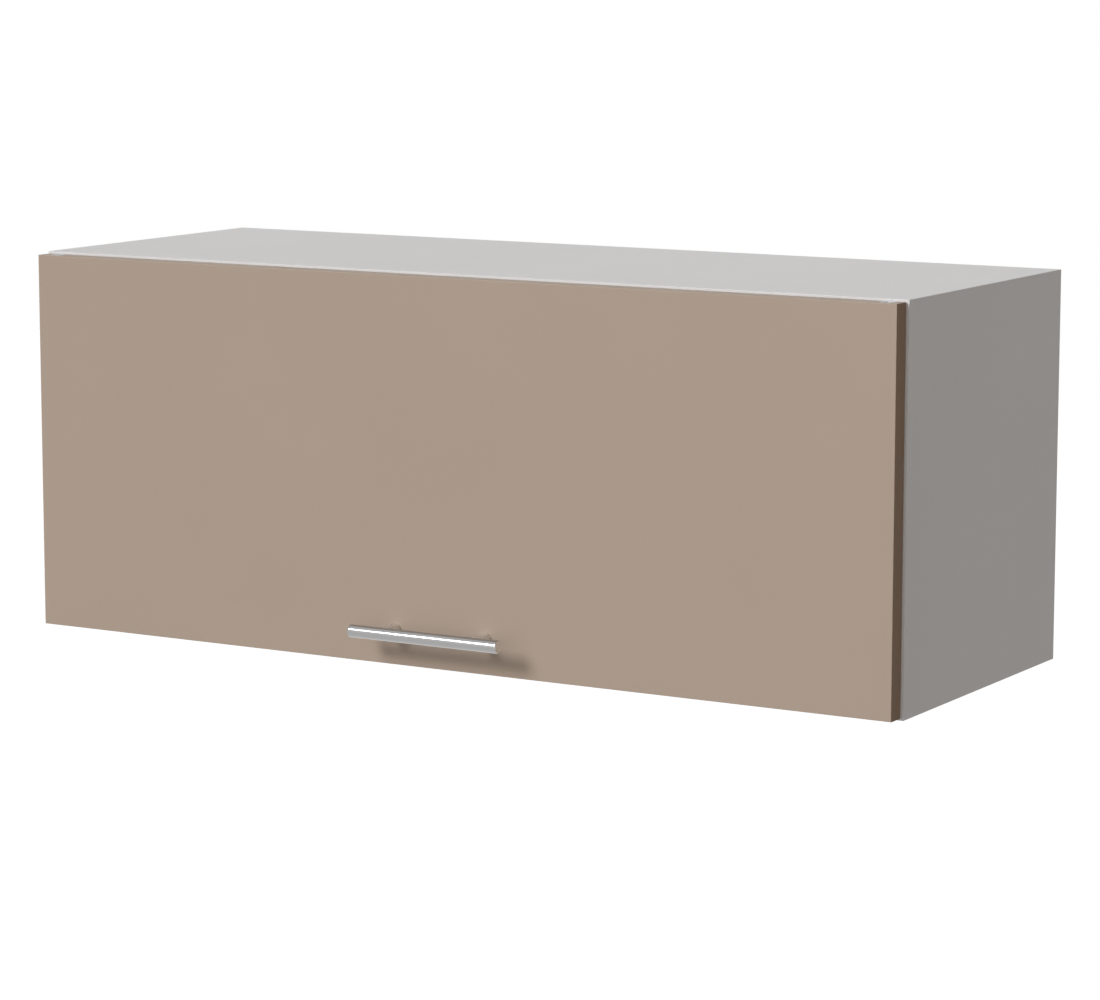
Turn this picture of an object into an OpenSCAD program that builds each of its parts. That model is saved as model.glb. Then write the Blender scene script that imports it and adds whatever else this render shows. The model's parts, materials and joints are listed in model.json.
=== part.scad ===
// Lift up wall cabinet: board carcass, one flap door hung on two pivot hinges,
// two friction flap stays, hanging brackets with wall plates, bar handle.
// The origin lies on the wall plane, in the middle of the four wall plate holes.
// +X runs to the right, +Y into the wall, +Z up.

/* [Carcass] */
// Width over the side panels
cab_w = 900; // [600:10:1200]
// Height of the carcass
cab_h = 358; // [320:2:480]
// Depth of the carcass without the door
cab_d = 320; // [290:5:400]
// Thickness of the carcass boards
panel_t = 16; // [15:1:19]
// Thickness of the front edge band of the carcass
edge_t = 0.8; // [0.4:0.2:2]
// Thickness of the back panel
back_t = 3; // [2.5:0.5:5]
// Space behind the back panel for the wall plates
back_inset = 17; // [14:1:25]
// Depth of the groove that holds the back panel
groove_d = 6; // [4:1:8]

/* [Board joints] */
// Radius of a cam housing
cam_r = 7.5; // [6:0.5:8]
// Height of a cam housing
cam_h = 12.2; // [11:0.2:13]
// Distance from the panel end to the cam axis
cam_in = 34; // [24:1:34]
// Distance from the carcass front to the first cam
cam_front = 50; // [40:1:70]
// Distance from the wall to the last cam
cam_back = 64; // [50:1:100]
// Shank radius of a cam bolt
bolt_r = 3.4; // [3:0.1:3.6]
// Length of the bolt thread in the side panel
bolt_thread = 11; // [8:0.5:12]
// Radius of a wooden dowel
dowel_r = 4; // [3:0.5:5]
// Length of a wooden dowel
dowel_len = 30; // [25:1:40]
// Depth of a dowel in the side panel
dowel_in_side = 11; // [8:0.5:12]
// Distance from a cam to its dowel
dowel_step = 32; // [25:1:40]
// Thickness of a cam cover cap
cap_t = 1; // [0.6:0.1:1.5]
// Rim of a cam cover cap around its housing
cap_lap = 1.2; // [0.6:0.2:2]
// Clearance around a cam housing
cam_fit = 0.1; // [0.05:0.05:0.2]
// Space over a cam housing
cam_space = 0.3; // [0.1:0.1:0.6]
// Half width of the room for the bolt head in a cam housing
cam_room = 3.8; // [3.7:0.1:4.2]
// Clearance around the shank of a cam bolt
bolt_space = 0.6; // [0.3:0.1:0.8]
// Length of the head of a cam bolt
bolt_head = 4; // [3:0.5:5]
// Length of the neck of a cam bolt
bolt_neck = 6; // [4:0.5:8]
// Radius of the neck of a cam bolt
neck_r = 2; // [1.5:0.1:2.4]

/* [Door] */
// Thickness of the door
door_t = 18; // [16:0.5:22]
// Reveal beside the door, left and right
reveal_side = 2.5; // [1:0.5:5]
// Reveal above and below the door
reveal_end = 2; // [1:0.5:4]
// Gap between the door and the carcass
door_gap = 1; // [1:0.1:2]
// Thickness of the door edge band
door_edge_t = 0.8; // [0.4:0.2:2]
// Radius of a door buffer
buffer_r = 4; // [3:0.5:5]
// Height of the buffers above the lower edge of the carcass
buffer_z = 24; // [15:1:60]

/* [Handle] */
// Diameter of the handle bar
bar_d = 12; // [10:1:14]
// Length of the handle bar
bar_len = 156; // [136:1:260]
// Wall of the handle tube
bar_wall = 1; // [0.8:0.1:1.5]
// Distance between the two handle posts
post_span = 96; // [64:32:192]
// Diameter of a handle post
post_d = 10; // [8:0.5:11]
// Height of the bar axis over the door face
bar_off = 29; // [22:1:40]
// Height of the bar axis over the lower edge of the door
bar_z = 33; // [20:1:80]
// Length of the plug of a handle end cap
cap_plug = 8; // [5:1:14]
// Rim thickness of a handle end cap
cap_rim = 1.5; // [1:0.5:3]
// Radius of a handle screw
handle_screw_r = 2; // [1.5:0.5:2.5]
// Depth of a handle screw in its post
handle_screw_in = 9; // [6:1:12]
// Space behind the end of a handle screw
handle_screw_space = 1; // [0.5:0.5:2]
// Clearance around a handle screw in the door
handle_screw_fit = 0.25; // [0.1:0.05:0.5]

/* [Pivot hinges] */
// Depth of the hinge axis behind the inner door face
axis_in = 8.5; // [8:0.5:10]
// Distance of the hinge axis from the upper door edge
axis_drop = 3.5; // [3:0.1:3.5]
// Thickness of the pivot plate
plate_t = 2.5; // [2:0.5:3]
// Depth of the pivot plate inside the cabinet
plate_d = 30; // [26:1:36]
// Height of the pivot plate
plate_h = 34; // [30:1:50]
// Radius of the plate eye around the hinge pin
eye_r = 3; // [2.6:0.1:3]
// Radius of the hinge pin
hinge_pin_r = 1.5; // [1:0.1:1.8]
// Width of the nose that reaches into the door
nose_w = 5; // [4:0.5:5]
// Height of the nose
nose_h = 5.6; // [4:0.2:6]
// Distance from the carcass front to the pivot plate
plate_in = 2; // [1:0.5:4]
// Distance from the carcass front to the pivot plate screws
pivot_screw_in = 16.5; // [12:0.5:20]
// Distance of the pivot plate screws from the ends of the plate
pivot_screw_edge = 8; // [6:0.5:10]
// Wall of the hinge block beside its slot
cheek_t = 4.2; // [3:0.2:6]
// Height of the hinge block
block_h = 28; // [26:1:36]
// Depth of the hinge block in the door
block_d = 13; // [12.5:0.5:14]
// Width of the screw wing of the hinge block
wing_w = 22; // [18:1:30]
// Height of the screw wing
wing_h = 24; // [20:1:30]
// Thickness of the screw wing
wing_t = 2; // [1.5:0.5:3]
// Distance of the screw wing below the top panel
wing_drop = 2; // [1:0.5:4]
// Distance of the wing screws from the ends of the wing
wing_screw_edge = 6; // [5:0.5:7]

/* [Flap stays] */
// Distance from the carcass front to the stay axis
stay_in = 62; // [55:1:80]
// Distance from the top of the carcass to the stay axis
stay_down = 50; // [46:1:60]
// Distance from the upper door edge to the door bracket axis
bracket_down = 110; // [90:1:130]
// Height of the bracket axis over the inner door face
bracket_off = 14; // [12:0.5:20]
// Width of the stay base plate
base_w = 104; // [90:1:120]
// Gap between the pivot plate and the stay base plate
base_gap = 0.8; // [0.5:0.1:3]
// Height of the stay base plate over the stay axis
base_rise = 27.7; // [24:0.1:29]
// Distance of the stay screws from the edges of the base plate
stay_screw_edge = 8; // [6:0.5:12]
// Height of the stay base plate
base_h = 66; // [56:1:80]
// Thickness of the stay base plate
base_t = 3; // [2.5:0.5:4]
// Thickness of the stay cover over the base plate
cover_t = 10; // [8:1:16]
// Wall of the stay cover
cover_wall = 1.6; // [1.2:0.2:2.5]
// Radius of the boss that carries the lever
boss_r = 9; // [8:0.5:11]
// Gap between the stay cover and the boss
boss_gap = 0.4; // [0.2:0.1:1]
// Radius of the brake bolt
brake_r = 4; // [3:0.5:4.5]
// Rim of the head of the brake bolt
brake_rim = 2.5; // [1.5:0.5:3.5]
// Thickness of the head of the brake bolt
brake_head_t = 1.6; // [1.2:0.1:1.8]
// Depth of the head of the brake bolt below the back of the base plate
brake_sink = 0.2; // [0.1:0.1:0.4]
// Reach of the brake bolt over its nut
brake_end = 1.5; // [0.5:0.5:3]
// Thickness of a friction disc
disc_t = 1; // [0.8:0.2:2]
// Thickness of the lever and of the link
lever_t = 3; // [2.5:0.5:4]
// Width of the lever and of the link
lever_w = 13; // [10:1:14]
// Radius of the eyes of the lever, the link and the door bracket
arm_eye_r = 8; // [7.5:0.5:9]
// Radius of the lever and bracket pins
arm_pin_r = 3; // [2.5:0.5:3.5]
// Radius of the heads of the pins
pin_head_r = 5; // [4:0.5:6]
// Thickness of the heads of the pins
pin_head_t = 1.6; // [1:0.2:2.4]
// Play of the link under the heads of the pins
pin_play = 0.2; // [0.1:0.1:0.4]
// Thickness of the brake nut
nut_t = 6; // [4:1:8]
// Thickness of the door bracket
bracket_t = 2.5; // [2:0.5:4]
// Width of the door bracket foot
foot_w = 24; // [22:1:34]
// Height of the door bracket foot
foot_h = 46; // [40:1:56]
// Distance of the door bracket screws from the edges of the foot
foot_screw_edge = 6; // [5:0.5:7]

/* [Hanging brackets] */
// Width of the hanger casing
casing_w = 18; // [16:1:24]
// Depth of the hanger casing
casing_d = 62; // [56:1:76]
// Height of the hanger casing
casing_h = 42; // [38:1:50]
// Wall of the hanger casing
casing_wall = 2; // [1.6:0.2:2.4]
// Gap between the casing and the top panel
casing_gap = 3; // [3:0.5:6]
// Distance between the two screws of a hanger casing
hanger_screw_step = 37; // [30:1:40]
// Height of the hanger screws over the lower edge of the casing
hanger_screw_rise = 9; // [7:0.5:12]
// Distance from the casing top to the hook seat
hook_drop = 18; // [16:1:20]
// Thickness of the hook
hook_t = 3; // [2.5:0.5:4]
// Width of the hook
hook_w = 9; // [7:1:10]
// Length of the hook inside the casing
hook_len = 38; // [34:1:44]
// Height of the tail of the hook
hook_tail = 15; // [12:0.5:17]
// Thickness of the tip of the hook
hook_tip_t = 2.6; // [2:0.2:3]
// Gap between the hook and the wall plate
hook_gap = 0.8; // [0.5:0.1:1.2]
// Space between the tip of the hook and the foot of the lip
hook_tip_space = 1; // [0.5:0.5:2]
// Gap between the hook and the side of its casing
hook_side = 0.5; // [0.3:0.1:1]
// Space around the hook in its slot
hook_room = 2; // [1:0.5:3]
// Distance between the two adjusting screws
adjuster_step = 12.5; // [11:0.5:14]
// Depth of an adjusting screw below the face of the casing
adjuster_sink = 0.5; // [0.2:0.1:1]
// Depth of the cross recess of an adjusting screw
adjuster_recess = 1.3; // [0.8:0.1:2]
// Thickness of the hanger cover
hanger_cover_t = 1.4; // [1:0.2:1.6]
// Gap between the hanger cover and its casing
hanger_cover_gap = 0.4; // [0.2:0.1:0.6]
// Room around an adjusting screw in the hanger cover
cover_hole_rim = 0.5; // [0.3:0.1:1]
// Room around the hanger casing in the notch of the back panel
notch_space = 6; // [4:0.5:10]
// Width of a wall plate
wall_plate_w = 52; // [44:1:70]
// Height of a wall plate
wall_plate_h = 32; // [30:1:44]
// Thickness of a wall plate
wall_plate_t = 2; // [1.5:0.5:3]
// Height of the lip that the hook hangs on
lip_h = 8; // [7:1:10]
// Space between the lip and the wall plate
lip_space = 5; // [4.8:0.2:7]
// Distance between the two holes of a wall plate
wall_hole_step = 16; // [12:1:18]
// Radius of a wall plate hole
wall_hole_r = 3; // [2:0.5:3.5]
// Distance from the side panel to the wall plate
wall_plate_in = 5; // [3:1:12]

/* [Fasteners] */
// Radius of a system screw
screw_r = 2.5; // [2:0.5:3]
// Depth of a system screw in a board
screw_in = 11; // [8:1:12]
// Radius of a screw head
head_r = 4.2; // [3.5:0.1:5]
// Height of a screw head
head_h = 2; // [1.5:0.5:3]
// Radius of a screw in the back of the door
door_screw_r = 1.75; // [1.4:0.05:2]
// Radius of a small screw head
small_head_r = 3.4; // [3:0.1:4]
// Height of a small screw head
small_head_h = 1.6; // [1.2:0.1:2]
// Radius of a clip screw
clip_screw_r = 1.5; // [1.2:0.1:1.8]
// Radius of the head of a clip screw
clip_head_r = 2.6; // [2.2:0.1:3]
// Width of a back panel clip
clip_w = 18; // [14:1:30]
// Height of a back panel clip
clip_h = 9; // [8:1:12]
// Depth of a back panel clip
clip_d = 10; // [9:1:12]
// Thickness of a back panel clip under its screw head
clip_seat = 3; // [2:0.5:5]

/* [Clearances] */
// Clearance around a fixed piece in its hole
fit = 0.05; // [0.02:0.01:0.1]
// Radial running clearance of a pin
run = 0.05; // [0.02:0.01:0.09]
// Clearance of the back panel in its groove
groove_fit = 0.15; // [0.1:0.05:0.3]
// Clearance beside a moving plate
side_run = 0.4; // [0.3:0.05:0.6]
// Clearance over and under the nose of the pivot plate
nose_run = 0.8; // [0.6:0.1:1.2]

/* [Hidden] */
$fn = 48;

// Small overlap that keeps a cut open
cut = 0.5;

// Screw shape, as shares of the shank radius, the head radius and the head height
tip_share = 0.25;
recess_reach = 0.55;
recess_width = 0.12;
recess_floor = 0.45;

// Cross recess of a cam housing: half its length, half its width, and its depth
cam_cross = 3.4;
cam_cross_w = 0.6;
cam_cross_depth = 1.5;

// Heights, measured from the wall fixing
hook_z = wall_plate_h / 2 + lip_h;
casing_top = hook_z + hook_drop;
top_z = casing_top + casing_gap + panel_t;
bottom_z = top_z - cab_h;
front_y = -cab_d;
side_x = cab_w / 2;
inner_x = side_x - panel_t;
back_rear_y = -back_inset;
back_front_y = back_rear_y - back_t;

// Door, in the front frame: y from the carcass front, z from the carcass top
door_w = cab_w - 2 * reveal_side;
door_h = cab_h - 2 * reveal_end;
door_back = -door_gap;
door_face = door_back - door_t;
door_top = -reveal_end;
door_bottom = door_top - door_h;
axis_y = door_back - axis_in;
axis_z = door_top - axis_drop;

// Hinge parts along X
plate_x = inner_x - plate_t;
slot_x0 = plate_x - side_run;
slot_x1 = inner_x + side_run;
block_x0 = slot_x0 - cheek_t;
block_x1 = slot_x1 + cheek_t;
block_front = door_back - block_d;
block_bottom = door_top - block_h;
nose_top = -panel_t - nose_run;
nose_bottom = nose_top - nose_h;
wing_top = -panel_t - wing_drop;

// Stay parts along X, from the side panel inwards
base_x = inner_x - base_t;
cover_x = base_x - cover_t;
boss_x = cover_x - disc_t;
disc1_x = boss_x - disc_t;
lever_x = disc1_x - lever_t;
disc2_x = lever_x - disc_t;
nut_x = disc2_x - nut_t;
link_x = lever_x - side_run - lever_t;
brake_head_x = inner_x - brake_sink - brake_head_t;
pin_x = link_x - pin_play;
foot_x = disc1_x - foot_w;

// Stay geometry in the front frame: the lever stays parallel to the line
// from the hinge axis to the bracket axis, the link keeps its direction
stay_y = stay_in;
stay_z = -stay_down;
bracket_y = door_back + bracket_off;
bracket_z = door_top - bracket_down;
arm_y = bracket_y - axis_y;
arm_z = bracket_z - axis_z;
joint_y = stay_y + arm_y;
joint_z = stay_z + arm_z;
base_front = plate_d + base_gap;
base_rear = base_front + base_w;
base_top = stay_z + base_rise;
base_bottom = base_top - base_h;

// Hanger casing, hook and adjusting screws
casing_rear = back_front_y - fit;
casing_front = casing_rear - casing_d;
casing_x = inner_x - casing_w;
casing_bottom = casing_top - casing_h;
hook_x1 = inner_x - casing_wall - hook_side;
hook_x0 = hook_x1 - hook_w;
tail_y = casing_rear - hook_len;
adjuster_x = (hook_x0 + hook_x1) / 2;
adjuster_zs = [hook_z + hook_t / 2, hook_z + hook_t / 2 - adjuster_step];

// Clips of the back panel
clip_x = cab_w / 5;
clip_y = back_rear_y + clip_d / 2;
side_clip_z = bottom_z + cab_h / 2;

// ---------- helpers ----------

module at_front() {
  translate([0, front_y, top_z]) children();
}

module box(x0, x1, y0, y1, z0, z1) {
  translate([x0, y0, z0]) cube([x1 - x0, y1 - y0, z1 - z0]);
}

// A disc or bar of radius r along X from x0 to x1, at y and z
module rod_x(r, x0, x1, y, z) {
  translate([x0, y, z]) rotate([0, 90, 0]) cylinder(h = x1 - x0, r = r);
}

// A bar of radius r along Y
module rod_y(r, x, y0, y1, z) {
  translate([x, y0, z]) rotate([-90, 0, 0]) cylinder(h = y1 - y0, r = r);
}

module left() {
  mirror([1, 0, 0]) children();
}

module both_sides() {
  children();
  mirror([1, 0, 0]) children();
}

// Draws an outline of the YZ plane as a plate from x0 to x1
module flat_plate(x0, x1) {
  translate([x0, 0, 0]) rotate([90, 0, 90]) linear_extrude(x1 - x0) children();
}

// A flat arm with an eye at each end, between two points of the YZ plane
module arm(x0, x1, y1, z1, y2, z2) {
  flat_plate(x0, x1) {
    translate([y1, z1]) circle(r = arm_eye_r);
    translate([y2, z2]) circle(r = arm_eye_r);
    translate([y1, z1])
      rotate(atan2(z2 - z1, y2 - y1))
        translate([0, -lever_w / 2])
          square([norm([y2 - y1, z2 - z1]), lever_w]);
  }
}

// A screw with its head above z = 0 and its shank below
module screw(r, len, hr, hh) {
  difference() {
    union() {
      translate([0, 0, -len + r]) cylinder(h = len - r, r = r);
      translate([0, 0, -len]) cylinder(h = r, r1 = r * tip_share, r2 = r);
      cylinder(h = hh, r = hr);
    }
    for (a = [0, 90])
      rotate([0, 0, a])
        translate([-hr * recess_reach, -hr * recess_width, hh * recess_floor])
          cube([2 * hr * recess_reach, 2 * hr * recess_width, hh]);
  }
}

module screw_hole(r, len) {
  translate([0, 0, -len - fit]) cylinder(h = len + fit + cut, r = r + fit);
}

// Turns a screw so that it goes into the right side panel
module into_side() {
  rotate([0, -90, 0]) children();
}

// Turns a screw so that it goes into the back of the door
module into_door() {
  rotate([-90, 0, 0]) children();
}

// ---------- places ----------

// Distances of the cams and dowels along the panel ends
cam_ys = [front_y + cam_front, -cam_back];
dowel_ys = [front_y + cam_front + dowel_step, -cam_back - dowel_step];

// Children are drawn at the right end of the top panel, in its middle plane,
// with X towards the side panel and -Z towards the inside of the cabinet
module joint_ends(ys) {
  for (y = ys)
    both_sides() {
      translate([inner_x, y, top_z - panel_t / 2]) children();
      translate([inner_x, y, bottom_z + panel_t / 2]) mirror([0, 0, 1]) children();
    }
}

module hanger_screw_places() {
  for (s = [-1, 1])
    translate([
      inner_x - casing_wall,
      (casing_front + casing_rear) / 2 + s * hanger_screw_step / 2,
      casing_bottom + hanger_screw_rise
    ])
      into_side() children();
}

module pivot_screw_places() {
  for (dz = [pivot_screw_edge, plate_h - pivot_screw_edge])
    translate([plate_x, front_y + pivot_screw_in, top_z + nose_top - dz])
      into_side() children();
}

module stay_screw_places() {
  for (p = [
    [base_front + stay_screw_edge, base_bottom + stay_screw_edge],
    [base_rear - stay_screw_edge, base_top - stay_screw_edge],
    [base_rear - stay_screw_edge, base_bottom + stay_screw_edge]
  ])
    translate([base_x, front_y + p[0], top_z + p[1]]) into_side() children();
}

module wing_screw_places() {
  for (dx = [wing_screw_edge, wing_w - wing_screw_edge])
    translate([block_x0 - dx, front_y + door_back + wing_t, top_z + wing_top - wing_h / 2])
      into_door() children();
}

module bracket_screw_places() {
  for (dx = [foot_screw_edge, foot_w - foot_screw_edge])
    for (s = [-1, 1])
      translate([
        foot_x + dx,
        front_y + door_back + bracket_t,
        top_z + bracket_z + s * (foot_h / 2 - foot_screw_edge)
      ])
        into_door() children();
}

module handle_places() {
  for (s = [-1, 1])
    translate([s * post_span / 2, front_y, top_z + door_bottom + bar_z]) children();
}

// Clips at the top, at the bottom and on the sides; -Z points into the board
module clip_places() {
  for (x = [-clip_x, clip_x]) {
    translate([x, clip_y, top_z - panel_t]) rotate([180, 0, 0]) children();
    translate([x, clip_y, bottom_z + panel_t]) children();
  }
  both_sides()
    translate([inner_x, clip_y, side_clip_z]) rotate([0, -90, 0]) children();
}

// ---------- carcass ----------

module cam_cuts() {
  // pocket for the cam housing, bore for the bolt
  translate([-cam_in, 0, -panel_t / 2 - cut])
    cylinder(h = cam_h + cam_space + cut, r = cam_r + cam_fit);
  rod_x(bolt_r + bolt_space, -cam_in, cut, 0, 0);
}

module side_panel() {
  difference() {
    box(inner_x, side_x, front_y + edge_t, 0, bottom_z, top_z);
    box(inner_x - cut, inner_x + groove_d,
        back_front_y - groove_fit, back_rear_y + groove_fit,
        bottom_z + panel_t - groove_d, top_z - panel_t + groove_d);
    for (z = [top_z - panel_t / 2, bottom_z + panel_t / 2]) {
      for (y = cam_ys)
        rod_x(screw_r + fit, inner_x - cut, inner_x + bolt_thread + fit, y, z);
      for (y = dowel_ys)
        rod_x(dowel_r + fit, inner_x - cut, inner_x + dowel_in_side + fit, y, z);
    }
    hanger_screw_places() screw_hole(screw_r, screw_in + casing_wall);
    pivot_screw_places() screw_hole(screw_r, screw_in + plate_t);
    stay_screw_places() screw_hole(screw_r, screw_in + base_t);
    translate([inner_x, clip_y, side_clip_z])
      rotate([0, -90, 0]) screw_hole(clip_screw_r, screw_in);
  }
}

module side_panel_left() { color([0.93, 0.93, 0.92]) left() side_panel(); }
module side_panel_right() { color([0.93, 0.93, 0.92]) side_panel(); }

// A panel between the sides, drawn as the top panel
module cross_panel() {
  difference() {
    box(-inner_x, inner_x, front_y + edge_t, 0, top_z - panel_t, top_z);
    box(-inner_x - cut, inner_x + cut,
        back_front_y - groove_fit, back_rear_y + groove_fit,
        top_z - panel_t - cut, top_z - panel_t + groove_d);
    for (y = cam_ys)
      both_sides() translate([inner_x, y, top_z - panel_t / 2]) cam_cuts();
    for (y = dowel_ys)
      both_sides()
        rod_x(dowel_r + fit, inner_x - (dowel_len - dowel_in_side) - fit, inner_x + cut,
              y, top_z - panel_t / 2);
    for (x = [-clip_x, clip_x])
      translate([x, clip_y, top_z - panel_t])
        rotate([180, 0, 0]) screw_hole(clip_screw_r, screw_in);
  }
}

module top_panel() { color([0.93, 0.93, 0.92]) cross_panel(); }

module bottom_panel() {
  color([0.93, 0.93, 0.92])
    translate([0, 0, top_z + bottom_z]) mirror([0, 0, 1]) cross_panel();
}

module back_panel() {
  notch_w = casing_w + hanger_cover_t + notch_space;
  notch_h = casing_h + casing_gap + notch_space;
  reach = groove_d - groove_fit;
  color([0.9, 0.9, 0.88])
    difference() {
      box(-inner_x - reach, inner_x + reach, back_front_y, back_rear_y,
          bottom_z + panel_t - reach, top_z - panel_t + reach);
      both_sides()
        box(inner_x - notch_w, inner_x + groove_d + cut, back_front_y - cut, back_rear_y + cut,
            top_z - panel_t - notch_h, top_z);
    }
}

module carcass_edge_bands() {
  color([0.95, 0.95, 0.94]) {
    both_sides() box(inner_x, side_x, front_y, front_y + edge_t, bottom_z, top_z);
    for (z = [bottom_z, top_z - panel_t])
      box(-inner_x + fit, inner_x - fit, front_y, front_y + edge_t, z, z + panel_t);
  }
}

module back_panel_clips() {
  color([0.85, 0.85, 0.83])
    clip_places()
      difference() {
        translate([-clip_w / 2, -clip_d / 2, 0]) cube([clip_w, clip_d, clip_h]);
        // slope on the side away from the back panel
        translate([-clip_w / 2 - cut, 0, clip_h])
          rotate([0, 90, 0])
            linear_extrude(clip_w + 2 * cut)
              polygon([[-cut, clip_d / 2 + cut], [clip_h / 2, clip_d / 2 + cut], [-cut, 0]]);
        cylinder(h = clip_h, r = clip_screw_r + fit);
        translate([0, 0, clip_seat]) cylinder(h = clip_h, r = clip_head_r + side_run);
      }
}

module back_clip_screws() {
  color([0.75, 0.75, 0.77])
    clip_places()
      translate([0, 0, clip_seat]) screw(clip_screw_r, screw_in, clip_head_r, small_head_h);
}

module cam_housings() {
  color([0.7, 0.7, 0.7])
    joint_ends(cam_ys)
      translate([-cam_in, 0, -panel_t / 2])
        difference() {
          cylinder(h = cam_h, r = cam_r);
          // room for the bolt head
          translate([-bolt_head - 2 * cam_fit, -cam_room, panel_t / 2 - cam_room])
            cube([cam_r * 2, 2 * cam_room, cam_h]);
          // cross recess
          for (a = [45, 135])
            rotate([0, 0, a])
              translate([-cam_cross, -cam_cross_w, -cut])
                cube([2 * cam_cross, 2 * cam_cross_w, cam_cross_depth + cut]);
        }
}

module cam_bolts() {
  color([0.72, 0.72, 0.75])
    joint_ends(cam_ys) {
      rod_x(screw_r, 0, bolt_thread, 0, 0);
      rod_x(bolt_r, -cam_in + bolt_head + bolt_neck, 0, 0, 0);
      rod_x(neck_r, -cam_in + bolt_head, -cam_in + bolt_head + bolt_neck, 0, 0);
      rod_x(bolt_r, -cam_in, -cam_in + bolt_head, 0, 0);
    }
}

module cam_caps() {
  color([0.95, 0.95, 0.94])
    joint_ends(cam_ys)
      translate([-cam_in, 0, -panel_t / 2 - cap_t])
        cylinder(h = cap_t, r = cam_r + cap_lap);
}

module wood_dowels() {
  color([0.85, 0.72, 0.5])
    joint_ends(dowel_ys)
      rod_x(dowel_r, dowel_in_side - dowel_len, dowel_in_side, 0, 0);
}

// ---------- hanging brackets ----------

module hanger_casing() {
  w = casing_wall;
  difference() {
    box(casing_x, inner_x, casing_front, casing_rear, casing_bottom, casing_top);
    // open towards the middle of the cabinet
    box(casing_x - cut, inner_x - w, casing_front + w, casing_rear - w,
        casing_bottom + w, casing_top - w);
    // slot for the hook
    box(hook_x0 - hook_side, inner_x - w, casing_rear - w - cut, casing_rear + cut,
        hook_z - hook_room, hook_z + hook_t + hook_room);
    // holes for the two adjusting screws
    for (z = adjuster_zs)
      rod_y(screw_r + fit, adjuster_x, casing_front - cut, casing_front + w + cut, z);
    hanger_screw_places() screw_hole(screw_r, w + cut);
  }
}

// Hook: tongue, tip behind the lip of the wall plate, tail for the adjusters
module hanger_hook() {
  tip_y = -wall_plate_t - hook_gap;
  box(hook_x0, hook_x1, tail_y, tip_y, hook_z, hook_z + hook_t);
  box(hook_x0, hook_x1, tip_y - hook_tip_t, tip_y,
      hook_z - lip_h + hook_tip_space, hook_z + hook_t);
  box(hook_x0, hook_x1, tail_y, tail_y + hook_t, hook_z - hook_tail, hook_z + hook_t);
}

module hanger_adjusters() {
  color([0.75, 0.75, 0.77])
    both_sides()
      for (z = adjuster_zs)
        translate([adjuster_x, casing_front + adjuster_sink, z])
          difference() {
            rod_y(screw_r, 0, 0, tail_y - casing_front - adjuster_sink - fit, 0);
            // cross recess
            for (a = [0, 90])
              rotate([0, a, 0])
                box(-screw_r * (1 - tip_share), screw_r * (1 - tip_share),
                    -cut, adjuster_recess, -screw_r * recess_width, screw_r * recess_width);
          }
}

module hanger_cover() {
  g = hanger_cover_gap;
  w = hanger_cover_t;
  y0 = casing_front - g;
  x0 = casing_x - g;
  z0 = casing_bottom - g;
  z1 = casing_top + g;
  difference() {
    box(x0 - w, inner_x, y0 - w, casing_rear, z0 - w, z1 + w);
    box(x0, inner_x + cut, y0, casing_rear + cut, z0, z1);
    for (z = adjuster_zs)
      rod_y(screw_r + cover_hole_rim, adjuster_x, y0 - w - cut, y0 + cut, z);
  }
}

module wall_plate() {
  x1 = inner_x - wall_plate_in;
  x0 = x1 - wall_plate_w;
  zt = wall_plate_h / 2;
  lip_y = -wall_plate_t - lip_space;
  difference() {
    union() {
      box(x0, x1, -wall_plate_t, 0, -zt, zt);
      box(x0, x1, lip_y - wall_plate_t, 0, zt - wall_plate_t, zt);
      box(x0, x1, lip_y - wall_plate_t, lip_y, zt - wall_plate_t, zt + lip_h);
    }
    for (s = [-1, 1])
      rod_y(wall_hole_r, (x0 + x1) / 2, -wall_plate_t - cut, cut, s * wall_hole_step / 2);
  }
}

module hanger_casing_left() { color([0.8, 0.8, 0.8]) left() hanger_casing(); }
module hanger_casing_right() { color([0.8, 0.8, 0.8]) hanger_casing(); }
module hanger_hook_left() { color([0.7, 0.7, 0.72]) left() hanger_hook(); }
module hanger_hook_right() { color([0.7, 0.7, 0.72]) hanger_hook(); }
module hanger_cover_left() { color([0.95, 0.95, 0.94]) left() hanger_cover(); }
module hanger_cover_right() { color([0.95, 0.95, 0.94]) hanger_cover(); }
module wall_plate_left() { color([0.7, 0.7, 0.72]) left() wall_plate(); }
module wall_plate_right() { color([0.7, 0.7, 0.72]) wall_plate(); }

module hanger_screws() {
  color([0.75, 0.75, 0.77])
    both_sides() hanger_screw_places() screw(screw_r, screw_in + casing_wall, head_r, head_h);
}

// ---------- door ----------

// Pocket for the hinge block, open at the top and at the back of the door
module hinge_pocket() {
  at_front()
    box(block_x0 - fit, block_x1 + fit, block_front - fit, door_back + cut,
        block_bottom - fit, door_top + cut);
}

module door_panel() {
  e = door_edge_t;
  color([0.67, 0.6, 0.54])
    difference() {
      at_front()
        box(-door_w / 2 + e, door_w / 2 - e, door_face, door_back, door_bottom + e, door_top - e);
      both_sides() {
        hinge_pocket();
        wing_screw_places() screw_hole(door_screw_r, screw_in + wing_t);
        bracket_screw_places() screw_hole(door_screw_r, screw_in + bracket_t);
      }
      handle_places()
        rod_y(handle_screw_r + handle_screw_fit, 0, door_face - cut, door_back + cut, 0);
    }
}

module door_edge_bands() {
  e = door_edge_t;
  color([0.64, 0.57, 0.51])
    difference() {
      at_front() {
        both_sides()
          box(door_w / 2 - e, door_w / 2, door_face, door_back, door_bottom, door_top);
        for (z = [door_bottom, door_top - e])
          box(-door_w / 2 + e + fit, door_w / 2 - e - fit, door_face, door_back, z, z + e);
      }
      both_sides() hinge_pocket();
    }
}

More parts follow.
